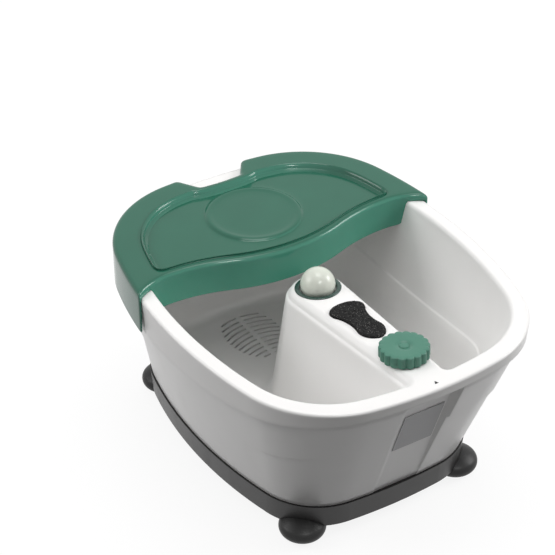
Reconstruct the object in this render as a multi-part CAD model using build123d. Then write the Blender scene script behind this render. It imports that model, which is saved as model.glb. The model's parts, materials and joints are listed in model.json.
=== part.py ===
from build123d import *
from dataclasses import dataclass
from math import atan2, cos, hypot, pi, sin, sqrt
import os

# Foot spa basin, in millimetres. X is left to right, -Y is the user's side with the control knob,
# +Y is the side under the splash cover, +Z is up. The feet stand on z = 0.


@dataclass(frozen=True)
class Oval:
    """A closed outline of eight tangent arcs, mirrored in x: front, sides and back joined by corners."""

    half_width: float
    side_y: float
    side_r: float
    front: float
    front_r: float
    front_corner_r: float
    back: float
    back_r: float
    back_corner_r: float


# Outlines of the rim and of the base, and the heights that they lie at
rim = Oval(157.0, -1.1, 471.0, 195.1, 390.0, 97.0, 192.9, 509.0, 104.0)
base = Oval(122.7, 25.0, 430.0, 140.1, 511.0, 67.0, 166.0, 410.0, 61.0)
rim_z = 188.5
base_top_z = 38.8
base_bottom_z = 15.3
floor_z = 47.0

# Basin: one moulding with a flat rim, a turned-down band, a floor and the raised console
wall = 2.5
rim_side_width = 15.0
rim_front_width = 17.0
rim_thick = 3.0
floor_thick = 3.0
floor_inset = 7.2
band_draft = 0.06
band_rear_drop = 38.0
band_mid_drop = 26.5
band_front_drop = 10.5
band_level_y = 20.0

# Outer body: the wall between the band and the base, with a step where its upper part stands proud
body_gap = 0.5
body_top_drop = 16.5
body_step = 1.8
step_low_z = 99.5
step_mid_z = 114.0
step_front_z = 139.0
step_level_y = -35.0
line_bow_y = 12.0
pocket_x = -1.0
pocket_width = 46.0
pocket_depth = 8.0
pocket_low_depth = 3.0
plate_width = 41.0
plate_height = 52.0
plate_thick = 0.8
plate_drop = 60.0

# Console: the raised island between the feet, with a top that slopes down to the rear
ball_y = -4.5
console_drop = 14.0
console_slope = 0.084
console_top_r = 28.0
console_foot_r = 41.0
console_front_top = 21.0
console_front_foot = 36.0
console_foot_y = 0.5
console_skin = 3.0
console_round = 6.0

# Bubble grille in the floor behind the console, with its air chamber below
grille_y = 112.0
grille_half_width = 29.0
grille_half_length = 42.0
slot_pitch = 6.8
slot_width = 2.6
slot_arc_r = 56.0
slot_count = 12
centre_bar = 4.0
chamber_wall = 2.0
chamber_margin = 4.0
chamber_play = 0.3
chamber_depth = 12.0

# Base pan and its feet
pan_draft = 1.7
pan_wall = 3.4
pan_floor = 3.0
foot_r = 21.7
foot_half_height = 12.5
foot_side_r = 8.0
foot_centre_z = 11.3
foot_front = (84.5, -114.5)
foot_rear = (89.0, 138.0)
foot_fit = 0.2
foot_grip = 6.0
screw_r = 1.8
screw_head_r = 3.4
screw_head = 2.4
screw_fit = 0.2
boss_r = 4.5
pan_boss_r = 6.5
pan_boss = 4.0
foot_screw_length = 12.0
pan_screw_length = 14.0

# Splash cover: lies on the rear of the rim and hooks outside it with a skirt
cover_gap = 0.4
cover_wall = 2.0
cover_rise = 7.5
skirt_drop = 34.5
apron_drop = 25.5
apron_gap = 1.0
wave_front_y = 36.0
wave_centre_r = 169.0
wave_half = 60.0
wave_side_r = 165.0
wave_end_r = 58.6
wave_end_x = 156.5
tray_inset = 25.0
tray_front = 8.0
tray_depth = 5.0
disc_y = 109.0
disc_r = 46.0
disc_rise = 1.2
notch_outer = 35.0
notch_inner = 22.0
notch_y = 172.4
notch_bow = 1.5
rest_rib = 3.0

# Massage ball on its spindle, in a cup below the console's top
ball_r = 16.1
ball_rise = 3.9
ball_gap = 0.6
spindle_r = 3.0
run_fit = 0.05
cup_wall = 2.0
cup_flange_r = 22.0
cup_flange = 2.0
cup_boss = 7.0
bezel_r = 21.5
bezel_lip = 1.0
bezel_bore = 17.0
bezel_hole_r = 19.6
clip_r = 5.5
clip_thick = 1.0

# Pumice stone, an hourglass block in a recess of the console's top
stone_rear = -37.0
stone_rear_half = 17.0
stone_waist_y = -69.0
stone_waist_half = 10.8
stone_front_y = -84.0
stone_front_half = 12.2
stone_front = -101.5
stone_thick = 9.0
stone_rise = 3.0
stone_fit = 0.4
recess_wall = 2.0

# Control knob and its rotary switch
knob_y = -136.5
knob_r = 22.3
knob_height = 11.0
knob_lift = 0.8
knob_skin = 2.0
knob_lobes = 20
lobe_r = 2.4
knob_dimple_r = 4.5
shaft_r = 3.0
shaft_length = 34.0
hub_r = 5.5
neck_r = 4.5
neck_height = 3.0
nut_r = 7.5
nut_thick = 2.2
seal_r = 8.0
seal_thick = 1.2
switch_side = 26.0
switch_height = 18.0
terminal_count = 4

# Vibration motor with its eccentric weight, on a bracket below the console
motor_y = -14.0
motor_z = 44.0
motor_r = 13.0
motor_length = 34.0
motor_shaft_r = 1.5
motor_shaft_out = 16.0
weight_r = 11.0
weight_thick = 8.0
weight_gap = 3.0
bracket_width = 40.0
bracket_length = 26.0
bracket_thick = 2.5
bracket_foot = 9.0

# Air pump on grommets, its hose, the heater plates and the mains inlet parts
pump_size = (52.0, 44.0, 40.0)
pump_y = -104.0
grommet_r = 5.0
grommet_height = 5.0
hose_r = 3.5
hose_wall = 1.0
hose_x = 20.5
hose_z = 31.0
nipple_length = 8.0
heater_size = (44.0, 130.0, 1.6)
heater_x = 76.0
heater_y = -8.0
thermostat_r = 8.0
thermostat_height = 6.0
fuse_r = 2.5
fuse_length = 14.0
terminal_size = (34.0, 16.0, 12.0)
terminal_x = -62.0
terminal_y = 92.0
gland_x = -40.0
gland_z = 27.0
gland_r = 6.0
gland_bore = 3.5
gland_flange_r = 9.0
gland_flange = 2.0
gland_fit = 0.2

# Values worked out from those above
band_low_z = rim_z - band_rear_drop
body_top_z = rim_z - body_top_drop
console_z = rim_z - console_drop
cover_top_z = rim_z + cover_rise
cover_skirt_z = rim_z - skirt_drop
apron_z = rim_z - apron_drop
console_plane = Plane(origin=(0, ball_y, console_z), x_dir=(1, 0, 0), z_dir=(0, console_slope, 1))
pan_floor_z = base_bottom_z + pan_floor
under_floor_z = floor_z - floor_thick
tray_z = cover_top_z - tray_depth
far = 400.0


def grown(shape, out, front_out=None):
    """The oval moved out by a distance (in where negative), with a separate value for its front."""
    ahead = out if front_out is None else front_out
    return Oval(
        shape.half_width + out,
        shape.side_y,
        shape.side_r + out,
        shape.front + ahead,
        shape.front_r + ahead,
        shape.front_corner_r + out,
        shape.back + out,
        shape.back_r + out,
        shape.back_corner_r + out,
    )


def corner_centre(big, big_r, side, side_r, corner_r, toward):
    """Centre of the corner arc that is tangent inside two larger arcs, on the side it turns toward."""
    a = big_r - corner_r
    b = side_r - corner_r
    dx = side[0] - big[0]
    dy = side[1] - big[1]
    d = hypot(dx, dy)
    along = (a * a - b * b + d * d) / (2 * d)
    aside = sqrt(a * a - along * along)
    found = []
    for sign in (1, -1):
        x = big[0] + (along * dx - sign * aside * dy) / d
        y = big[1] + (along * dy + sign * aside * dx) / d
        found.append((x, y))
    return max(found, key=lambda p: p[0] + toward * p[1])


def on_ray(centre, through, radius):
    """The point at a radius from a centre, on the ray through another point."""
    dx = through[0] - centre[0]
    dy = through[1] - centre[1]
    d = hypot(dx, dy)
    return (centre[0] + dx / d * radius, centre[1] + dy / d * radius)


def oval_face(shape, z):
    """The oval as a face at a height."""
    front = (0, -shape.front + shape.front_r)
    side = (shape.half_width - shape.side_r, shape.side_y)
    back = (0, shape.back - shape.back_r)
    near = corner_centre(front, shape.front_r, side, shape.side_r, shape.front_corner_r, -1)
    rear = corner_centre(back, shape.back_r, side, shape.side_r, shape.back_corner_r, 1)
    p1 = on_ray(front, near, shape.front_r)
    p2 = on_ray(side, near, shape.side_r)
    p3 = on_ray(side, rear, shape.side_r)
    p4 = on_ray(back, rear, shape.back_r)
    near_mid = on_ray(near, ((p1[0] + p2[0]) / 2, (p1[1] + p2[1]) / 2), shape.front_corner_r)
    rear_mid = on_ray(rear, ((p3[0] + p4[0]) / 2, (p3[1] + p4[1]) / 2), shape.back_corner_r)
    right = [
        (p1, near_mid, p2),
        (p2, (shape.half_width, shape.side_y), p3),
        (p3, rear_mid, p4),
    ]
    edges = [ThreePointArc((-p1[0], p1[1]), (0, -shape.front), p1)]
    edges += [ThreePointArc(*points) for points in right]
    edges.append(ThreePointArc(p4, (0, shape.back), (-p4[0], p4[1])))
    edges += [ThreePointArc(*[(-x, y) for x, y in reversed(points)]) for points in reversed(right)]
    return Pos(0, 0, z) * make_face(Wire(edges))


def tub(levels):
    """A closed solid through ovals at rising heights, straight between them."""
    return loft([oval_face(shape, z) for shape, z in levels], ruled=True)


def below_line(low, mid, high, flat_y):
    """Everything under a line in the side view: level to the rear, then an arc that rises forward."""
    line = [
        Line((far, low), (flat_y, low)),
        ThreePointArc((flat_y, low), ((flat_y - rim.front) / 2 - line_bow_y, mid), (-rim.front, high)),
        Line((-rim.front, high), (-far, high)),
        Line((-far, high), (-far, -10)),
        Line((-far, -10), (far, -10)),
        Line((far, -10), (far, low)),
    ]
    side = make_face(Wire(line))
    return extrude(Plane.YZ * side, far, both=True)


def block(size, low):
    """A box from its size and lowest corner."""
    return Pos(*[c + s / 2 for c, s in zip(low, size)]) * Box(*size)


def cylinder(radius, low, height):
    """An upright cylinder from the centre of its lower face."""
    return Pos(low[0], low[1], low[2] + height / 2) * Cylinder(radius, height)


# Ovals of the walls
rim_inner = grown(rim, -rim_side_width, -rim_front_width)
floor_oval = grown(base, -floor_inset)
body_top = grown(rim, -(rim_z - band_low_z) * band_draft - wall - body_gap)


def body_levels(inset, low_z):
    """Levels of the outer body's wall surface, moved in by a distance."""
    low = grown(base, -inset)
    high = grown(body_top, -inset)
    return [(low, low_z), (high, body_top_z), (high, rim_z - rim_thick)]


def console_outline(nose_r, front_half, nose_y, z):
    """The console's plan: a round nose to the rear, and sides that run to the front wall."""
    front_y = -far / 2
    reach = nose_y - front_y
    turn = atan2(nose_r - front_half, reach)
    side = (nose_r * cos(turn), nose_y + nose_r * sin(turn))
    edges = [
        ThreePointArc(side, (0, nose_y + nose_r), (-side[0], side[1])),
        Line((-side[0], side[1]), (-front_half, front_y)),
        Line((-front_half, front_y), (front_half, front_y)),
        Line((front_half, front_y), side),
    ]
    return Pos(0, 0, z) * make_face(Wire(edges))


def console_block(inset, top_drop):
    """The console as a solid moved in by a distance, cut by its sloping top plane less a drop."""
    foot = console_outline(console_foot_r - inset, console_front_foot - inset, console_foot_y, 0)
    head = console_outline(console_top_r - inset, console_front_top - inset, ball_y, console_z)
    rise = console_z - floor_z
    grow = (console_foot_r - console_top_r) / rise
    extra = 20.0
    high = console_outline(
        console_top_r - inset - grow * extra,
        console_front_top - inset - grow * extra,
        ball_y - extra * (console_foot_y - ball_y) / rise,
        console_z + extra,
    )
    body = loft([Pos(0, 0, floor_z) * foot, head, high], ruled=True)
    over = console_plane * Pos(0, 0, 50 - top_drop) * Box(far * 2, far * 2, 100)
    return body - over


def grille_cut():
    """The slots of the bubble grille: arcs that bow to the rear, clipped to an ellipse, with a centre bar."""
    rings = Sketch()
    for i in range(slot_count):
        y = grille_y + (i - (slot_count - 1) / 2) * slot_pitch - slot_arc_r
        ring = Circle(slot_arc_r + slot_width / 2) - Circle(slot_arc_r - slot_width / 2)
        front = Pos(0, slot_arc_r) * Rectangle(2 * grille_half_width + 4, slot_arc_r)
        rings += Pos(0, y) * (ring & front)
    field = Pos(0, grille_y) * Ellipse(grille_half_width, grille_half_length)
    bar = Rectangle(centre_bar, far * 2)
    slots = (rings & field) - bar
    return extrude(Pos(0, 0, under_floor_z - 1) * slots, floor_thick + 2)


def screw_places():
    """Places of the screws that join the basin's bosses to the base pan."""
    return [(x, y) for y, half in ((-104, 58), (8, 106), (138, 62)) for x in (-half, half)]


def foot_places():
    """Places of the four feet."""
    return [(sx * x, y) for x, y in (foot_front, foot_rear) for sx in (-1, 1)]


def basin():
    """Inner tub, rim, turned-down band, console and bosses in one moulding."""
    band_low = grown(rim, -(rim_z - band_low_z) * band_draft)
    band = tub([(band_low, band_low_z), (rim, rim_z)])
    inner_high = grown(rim, -wall)
    band -= tub([(grown(band_low, -wall), band_low_z - 1), (inner_high, rim_z - rim_thick)])
    band -= below_line(band_low_z, rim_z - band_mid_drop, rim_z - band_front_drop, band_level_y)
    outside = tub([(grown(floor_oval, wall), under_floor_z), (grown(rim_inner, wall), rim_z - rim_thick / 2)])
    inside = tub([(floor_oval, floor_z), (rim_inner, rim_z)])
    hump = console_block(0, 0) & outside & block((far * 2, far * 2, rim_z), (-far, -far, 0))
    hump = fillet(hump.edges().filter_by(lambda e: console_top_edge(e)), console_round)
    hollow = console_block(wall, console_skin) & inside
    below = hollow.faces().sort_by(Axis.Z)[0]
    hollow += extrude(below, floor_thick + 1, dir=(0, 0, -1))
    shell = band + outside - inside + hump - hollow
    for x, y in screw_places():
        low = pan_floor_z + pan_boss
        shell += cylinder(boss_r, (x, y, low), under_floor_z - low + 1)
        shell -= cylinder(screw_r, (x, y, low - 1), pan_screw_length)
    shell -= grille_cut()
    shell -= console_plane * cylinder(bezel_hole_r, (0, 0, -console_skin - 1), console_skin + 20)
    shell -= console_plane * cylinder(neck_r + screw_fit, (0, knob_y, -console_skin - 1), console_skin + 20)
    tray_low = stone_rise - stone_thick - recess_wall
    shell += console_plane * stone_block(recess_wall + stone_fit, tray_low, -1 - tray_low)
    shell -= console_plane * stone_block(stone_fit, stone_rise - stone_thick, stone_thick + 20)
    return shell


def console_top_edge(edge):
    """True for the edges where the console's sides meet its sloping top, clear of the front wall."""
    at = edge.center()
    plane_z = console_z - console_slope * (at.Y - ball_y)
    return abs(at.Z - plane_z) < 2.0 and at.Y > -150.0


def stone_block(grow, low, height):
    """The stone's hourglass plan, moved out by a distance, as a block in the console's own axes."""
    rear = stone_rear
    mid = stone_rear_half
    right = [
        ((0, rear), (mid * 0.35, rear - 0.6), (mid * 0.65, rear - 2.4)),
        ((mid * 0.65, rear - 2.4), (mid, rear - 9.5), (mid * 0.86, rear - 18.0)),
        ((mid * 0.86, rear - 18.0), (stone_waist_half, stone_waist_y), (stone_front_half, stone_front_y)),
        ((stone_front_half, stone_front_y), (stone_front_half * 0.86, stone_front_y - 9.5), (0, stone_front)),
    ]
    edges = [ThreePointArc(*points) for points in right]
    edges += [ThreePointArc(*[(-x, y) for x, y in reversed(points)]) for points in reversed(right)]
    plan = make_face(Wire(edges))
    if grow:
        plan = offset(plan, grow)
    return extrude(Pos(0, 0, low) * plan, height)


def outer_body():
    """Outer wall between the band and the base, stepped, with the pocket for the plate."""
    wide = tub(body_levels(0, base_top_z)) - below_line(step_low_z, step_mid_z, step_front_z, step_level_y)
    narrow = tub(body_levels(body_step, base_top_z))
    inside = tub(body_levels(body_step + wall, base_top_z))
    pocket = pocket_plane() * pocket_prism()
    keep = pocket_plane() * Pos(0, 0, -wall / 2) * Box(pocket_width + 2 * wall, far, wall)
    outer = wide + narrow
    backing = keep & outer - tub_clear()
    return outer - inside - pocket + backing


def tub_clear():
    """The space that the basin's own walls take, with a gap around them."""
    return tub([(grown(floor_oval, wall + body_gap), base_top_z - 5), (grown(rim_inner, wall + body_gap), rim_z)])


def pocket_plane():
    """The plane of the pocket's floor, sunk below the front wall and leaning with it."""
    low_y = -base.front + pocket_low_depth
    high_y = -body_top.front + pocket_depth
    lean = (high_y - low_y) / (body_top_z - base_top_z)
    middle = (low_y + high_y) / 2
    centre_z = (base_top_z + body_top_z) / 2
    return Plane(origin=(pocket_x, middle, centre_z), x_dir=(1, 0, 0), z_dir=(0, -1, lean))


def pocket_prism():
    """The pocket's room above its own floor: as wide as the floor below, with sides that open at 45 degrees."""
    half = pocket_width / 2
    out = 2 * wall + pocket_depth + rim_front_width
    section = Plane.XZ * make_face(Polyline((-half, 0), (half, 0), (half + out, out), (-half - out, out), close=True))
    return extrude(section, far / 2, both=True)


def rating_plate():
    """Blank plate on the pocket's floor."""
    rise = rim_z - plate_drop - (base_top_z + body_top_z) / 2
    return pocket_plane() * Pos(0, rise, plate_thick / 2) * Box(plate_width, plate_height, plate_thick)


def pan_outer(grow=0.0):
    """The base pan's outer form."""
    return tub([(grown(base, grow - pan_draft), base_bottom_z), (grown(base, grow), base_top_z)])


def base_pan():
    """Black bottom tray with bosses for the feet and the basin's screws, and a hole for the gland."""
    inside = tub([(grown(base, -pan_draft - pan_wall), pan_floor_z), (grown(base, -pan_wall), base_top_z)])
    pan = pan_outer() - inside
    room = pan_outer() & block((far * 2, far * 2, base_top_z), (-far, -far, 0))
    for x, y in screw_places() + foot_places():
        pan += cylinder(pan_boss_r, (x, y, base_bottom_z), pan_floor + pan_boss) & room
    for x, y in screw_places():
        pan -= cylinder(screw_r + screw_fit, (x, y, 0), far)
        pan -= cylinder(screw_head_r + screw_fit, (x, y, 0), base_bottom_z + screw_head)
    for x, y in foot_places():
        pan -= cylinder(screw_r, (x, y, 0), far)
    pan -= gland_at(Cylinder(gland_r + gland_fit, far / 4))
    return pan


def gland_at(shape):
    """A shape made along Z, turned to run along +Y at the gland's place in the rear wall."""
    back = base.back - 1.0
    return Pos(gland_x, back - gland_x * gland_x / (2 * base.back_r), gland_z) * Rot(-90, 0, 0) * shape


def rubber_foot(x, y):
    """Bun-shaped rubber foot with a flat sole, notched to hug the base pan.

    Its section is a side arc and two flatter arcs that are tangent to it. The flatter arcs' centres
    stand off the middle by the height that makes the circles touch.
    """
    reach = foot_r - foot_side_r
    rise = foot_half_height - foot_side_r
    off = (reach * reach - rise * rise) / (2 * rise)
    big_r = foot_half_height + off
    turn = atan2(off, reach)
    mid = (turn + pi / 2) / 2
    tip = (reach + foot_side_r * cos(turn), foot_side_r * sin(turn))
    shoulder = (big_r * cos(mid), big_r * sin(mid) - off)
    half = make_face([
        ThreePointArc((0, -foot_half_height), (shoulder[0], -shoulder[1]), (tip[0], -tip[1])),
        ThreePointArc((tip[0], -tip[1]), (foot_r, 0), tip),
        ThreePointArc(tip, shoulder, (0, foot_half_height)),
        Line((0, foot_half_height), (0, -foot_half_height)),
    ])
    ball = Pos(x, y, foot_centre_z) * revolve(Plane.XZ * half, Axis.Z)
    ball &= block((far * 2, far * 2, far), (-far, -far, 0))
    ball -= pan_outer(foot_fit)
    ball -= block((far * 2, far * 2, far), (-far, -far, base_bottom_z)) & hull_inside()
    ball -= cylinder(screw_r + screw_fit, (x, y, 0), far)
    ball -= cylinder(screw_head_r + screw_fit, (x, y, 0), base_bottom_z - foot_grip)
    return ball.solids().sort_by(SortBy.VOLUME)[-1]


def hull_inside():
    """Everything above the pan's bottom and inside its outline."""
    return extrude(oval_face(grown(base, foot_fit - pan_draft), base_bottom_z), far)


def screw(x, y, head_z, length):
    """Pan-head screw that points up, with a cross-shaped drive in its head."""
    head = cylinder(screw_head_r, (x, y, head_z), screw_head)
    shank = cylinder(screw_r - run_fit, (x, y, head_z + screw_head), length)
    drive = block((screw_head_r * 1.2, 0.8, 1.0), (x - screw_head_r * 0.6, y - 0.4, head_z))
    cross = block((0.8, screw_head_r * 1.2, 1.0), (x - 0.4, y - screw_head_r * 0.6, head_z))
    return head + shank - drive - cross


def foot_screws():
    """The four screws that hold the feet."""
    head_z = base_bottom_z - foot_grip - screw_head
    return [screw(x, y, head_z, foot_screw_length) for x, y in foot_places()]


def pan_screws():
    """The screws that hold the base pan to the basin."""
    return [screw(x, y, base_bottom_z, pan_screw_length) for x, y in screw_places()]


def wave_face(back, z):
    """The part of the plan behind the cover's wavy front edge, moved back by a distance."""
    front = wave_front_y
    top = (0, front + wave_centre_r)
    lean = wave_half / wave_centre_r
    down = sqrt(1 - lean * lean)
    side_x = wave_half + wave_side_r * lean
    side_y = top[1] - wave_centre_r * down - wave_side_r * down
    r1 = wave_centre_r - back
    r2 = wave_side_r + back
    r3 = wave_end_r + back
    end_c = (side_x, side_y + wave_side_r - wave_end_r)
    join = (top[0] + r1 * lean, top[1] - r1 * down)
    half = sqrt((1 + down) / 2)
    mid = (side_x - r2 * lean / (2 * half), side_y + r2 * half)
    peak = (side_x, side_y + r2)
    end_angle = atan2(sqrt(wave_end_r**2 - (wave_end_x - side_x) ** 2), wave_end_x - side_x)
    end = (end_c[0] + r3 * cos(end_angle), end_c[1] + r3 * sin(end_angle))
    bend = (end_angle + pi / 2) / 2
    end_mid = (end_c[0] + r3 * cos(bend), end_c[1] + r3 * sin(bend))
    outside = (rim.half_width + 60.0, end[1] - 1.5 * (rim.half_width + 60.0 - end[0]))
    right = [(join, mid, peak), (peak, end_mid, end)]
    edges = [ThreePointArc((-join[0], join[1]), (0, front + back), join)]
    edges += [ThreePointArc(*points) for points in right]
    edges.append(Line(end, outside))
    edges.append(Line(outside, (outside[0], far)))
    edges.append(Line((outside[0], far), (-outside[0], far)))
    edges.append(Line((-outside[0], far), (-outside[0], outside[1])))
    edges.append(Line((-outside[0], outside[1]), (-end[0], end[1])))
    edges += [ThreePointArc(*[(-x, y) for x, y in reversed(points)]) for points in reversed(right)]
    return Pos(0, 0, z) * make_face(Wire(edges))


def notch_face(grow, z):
    """The hand notch at the cover's rear, moved out by a distance."""
    slope = (notch_outer - notch_inner) / (rim.back - notch_y)
    low = notch_y - grow
    out = rim.back + 20.0
    inner = notch_inner + grow
    outer = inner + slope * (out - low)
    edges = [
        ThreePointArc((-inner, low), (0, low - notch_bow), (inner, low)),
        Line((inner, low), (outer, out)),
        Line((outer, out), (-outer, out)),
        Line((-outer, out), (-inner, low)),
    ]
    return Pos(0, 0, z) * make_face(Wire(edges))


def cover_plan(edge, back, notch_grow, z):
    """The cover's plan: inside an oval, behind the wave and outside the notch."""
    return (oval_face(edge, z) & wave_face(back, z)) - notch_face(notch_grow, z)


def splash_cover():
    """Green cover: a shell with a skirt outside the rim, an apron along the wave, and a sunk tray."""
    outer = grown(rim, cover_gap + cover_wall)
    inner = grown(rim, cover_gap)
    shell = extrude(cover_plan(outer, 0, 0, cover_skirt_z), cover_top_z - cover_skirt_z)
    room = extrude(cover_plan(inner, cover_wall, cover_wall, 0), cover_top_z - cover_wall)
    tray = grown(rim, -tray_inset)
    tray_under = grown(tray, cover_wall)
    low = tray_z - cover_wall
    solid_under = oval_face(tray_under, low) & wave_face(tray_front - cover_wall, low)
    room -= extrude(solid_under, cover_top_z - low)
    shell -= room
    shell -= extrude(oval_face(tray, tray_z) & wave_face(tray_front, tray_z), tray_depth + 1)
    shell += cylinder(disc_r, (0, disc_y, low), cover_wall + disc_rise)
    clear = tub([(grown(floor_oval, -apron_gap), floor_z), (grown(rim_inner, -apron_gap), rim_z)])
    shell -= extrude(oval_face(inner, 0), rim_z) - clear
    shell -= extrude(oval_face(inner, 0), apron_z)
    for x, y in ((-150.0, 60.0), (150.0, 60.0), (-118.0, 142.0), (118.0, 142.0)):
        rib = block((rest_rib, rest_rib, cover_top_z - rim_z - 1), (x - rest_rib / 2, y - rest_rib / 2, rim_z))
        shell += rib
    return shell


def ball_bezel():
    """Dark green ring around the ball, with a skirt in the console's hole."""
    ring = cylinder(bezel_r, (0, 0, 0), bezel_lip)
    ring += cylinder(bezel_hole_r - run_fit * 2, (0, 0, -console_skin), console_skin)
    ring -= cylinder(bezel_bore, (0, 0, -console_skin - 1), far)
    return console_plane * ring


def ball_cup():
    """Cup below the console's top, with a flange, a round seat and a boss for the spindle."""
    seat_r = ball_r + ball_gap
    floor_low = ball_rise - seat_r - cup_boss
    cup = cylinder(cup_flange_r, (0, 0, -console_skin - cup_flange), cup_flange)
    cup += cylinder(seat_r + cup_wall, (0, 0, floor_low + 4), -console_skin - floor_low - 4)
    cup += cylinder(spindle_r + 3.0, (0, 0, floor_low), 6)
    cup -= Pos(0, 0, ball_rise) * Sphere(seat_r)
    cup -= cylinder(spindle_r + run_fit, (0, 0, floor_low - 1), far)
    return console_plane * cup


def massage_ball():
    """Pearl ball, drilled for its spindle."""
    ball = Pos(0, 0, ball_rise) * Sphere(ball_r)
    ball -= cylinder(spindle_r + run_fit, (0, 0, -far), far + ball_rise)
    return console_plane * ball


def ball_spindle():
    """Spindle from the ball's middle down through the cup's boss, with a groove for the clip."""
    low = ball_rise - ball_r - ball_gap - cup_boss - 3.0
    pin = cylinder(spindle_r, (0, 0, low), ball_rise - low - run_fit)
    groove = cylinder(spindle_r + 1, (0, 0, low + 1.5), clip_thick) - cylinder(spindle_r - 0.8, (0, 0, low), 9)
    return console_plane * (pin - groove)


def spindle_clip():
    """Retaining ring in the spindle's groove."""
    low = ball_rise - ball_r - ball_gap - cup_boss - 3.0
    ring = cylinder(clip_r, (0, 0, low + 1.5), clip_thick)
    return console_plane * (ring - cylinder(spindle_r - 0.8, (0, 0, low), 9))


def pumice_stone():
    """Rough stone, proud of the console's top."""
    return console_plane * stone_block(0, stone_rise - stone_thick, stone_thick)


def control_knob():
    """Scalloped knob, hollow below, with a hub on the switch's shaft and a ringed dimple on top."""
    knob = cylinder(knob_r, (0, 0, 0), knob_height)
    knob = chamfer(knob.faces().sort_by(Axis.Z)[-1].edges(), 1.2)
    for i in range(knob_lobes):
        turn = 2 * pi * i / knob_lobes
        place = (knob_r + 0.9) * cos(turn), (knob_r + 0.9) * sin(turn), -1
        knob -= cylinder(lobe_r, place, knob_height + 2)
    hollow = cylinder(knob_r - knob_skin - 2.2, (0, 0, -1), knob_height - knob_skin + 1)
    knob -= hollow - cylinder(hub_r, (0, 0, nut_thick + 1.2), knob_height)
    knob -= cylinder(shaft_r + run_fit, (0, 0, -1), knob_height - knob_skin)
    knob -= cylinder(knob_dimple_r, (0, 0, knob_height - 0.6), 1) - cylinder(knob_dimple_r - 1.4, (0, 0, 0), far)
    return console_plane * Pos(0, knob_y, knob_lift) * knob


def switch_shaft():
    """Round shaft from the switch up into the knob's hub."""
    top = knob_lift + knob_height - knob_skin - 1.0 - run_fit
    return console_plane * cylinder(shaft_r, (0, knob_y, top - shaft_length), shaft_length)


def rotary_switch():
    """Switch body below the console's top, with a threaded neck through it and terminals below."""
    top = -console_skin - seal_thick
    body = block((switch_side, switch_side, switch_height), (-switch_side / 2, -switch_side / 2, top - switch_height))
    body += cylinder(neck_r, (0, 0, top), seal_thick + console_skin + neck_height)
    body -= cylinder(shaft_r + run_fit, (0, 0, -far), far * 2)
    for i in range(terminal_count):
        x = (i - (terminal_count - 1) / 2) * 5.5
        body += block((2.8, 0.8, 6.0), (x - 1.4, switch_side / 2 - 3.0, top - switch_height - 6.0))
    return console_plane * Pos(0, knob_y) * body


def switch_nut():
    """Hexagon nut on the switch's neck."""
    nut = extrude(RegularPolygon(nut_r, 6), nut_thick) - cylinder(neck_r, (0, 0, -1), far)
    return console_plane * Pos(0, knob_y) * nut


def switch_seal():
    """Rubber ring between the switch and the underside of the console's top."""
    ring = cylinder(seal_r, (0, 0, -console_skin - seal_thick), seal_thick) - cylinder(neck_r, (0, 0, -far), far)
    return console_plane * Pos(0, knob_y) * ring


def along_y(shape, y, z):
    """A shape made along Z from its base, laid along -Y from a place on the centre line."""
    return Pos(0, y, z) * Rot(90, 0, 0) * shape


def vibration_motor():
    """Motor can with end bosses, lying along Y."""
    can = cylinder(motor_r, (0, 0, 0), motor_length)
    can = fillet(can.edges().filter_by(GeomType.CIRCLE), 1.5)
    can += cylinder(4.0, (0, 0, motor_length), 2.0) + cylinder(4.0, (0, 0, -2.0), 2.0)
    can -= cylinder(motor_shaft_r + run_fit, (0, 0, 4), far)
    return along_y(can, motor_y, motor_z)


def motor_shaft():
    """Steel shaft that stands out of the motor's front end."""
    pin = cylinder(motor_shaft_r, (0, 0, 4.5), motor_length - 4.5 + motor_shaft_out)
    return along_y(pin, motor_y, motor_z)


def eccentric_weight():
    """Half-round weight on the shaft, hanging down."""
    low = motor_length + weight_gap
    disc = cylinder(weight_r, (0, 0, low), weight_thick)
    disc -= block((far, far, far), (-far / 2, 2.5, 0))
    disc += cylinder(4.0, (0, 0, low), weight_thick)
    disc -= cylinder(motor_shaft_r + run_fit, (0, 0, 0), far)
    return along_y(disc, motor_y, motor_z)


def motor_bracket():
    """Saddle under the motor with feet on the base pan."""
    front = motor_y - motor_length / 2 - bracket_length / 2
    height = motor_z - pan_floor_z
    body_width = bracket_width - 2 * bracket_foot
    saddle = block((body_width, bracket_length, height), (-body_width / 2, front, pan_floor_z))
    feet = block((bracket_width, bracket_length, bracket_thick), (-bracket_width / 2, front, pan_floor_z))
    saddle += feet
    saddle -= along_y(cylinder(motor_r + run_fit, (0, 0, -far / 2), far), motor_y, motor_z)
    hollow_h = height - motor_r - 2 * bracket_thick
    hollow_low = (-bracket_width / 2, front + bracket_thick, pan_floor_z + bracket_thick)
    saddle -= block((bracket_width, bracket_length - 2 * bracket_thick, hollow_h), hollow_low)
    for x in (-1, 1):
        place = (x * (bracket_width / 2 - bracket_foot / 2), front + bracket_length / 2, pan_floor_z - 1)
        saddle -= cylinder(screw_r, place, far)
    return saddle


def bracket_screws():
    """Screws through the bracket's feet into the base pan's floor, short of its underside."""
    front = motor_y - motor_length / 2
    made = []
    for x in (-1, 1):
        at = (x * (bracket_width / 2 - bracket_foot / 2), front, pan_floor_z + bracket_thick)
        head = cylinder(screw_head_r, at, screw_head)
        head += cylinder(screw_r - run_fit, (at[0], at[1], pan_floor_z), bracket_thick)
        made.append(head)
    return made


def pump_low():
    """Height of the pump's underside, above its grommets."""
    return pan_floor_z + grommet_height


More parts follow.
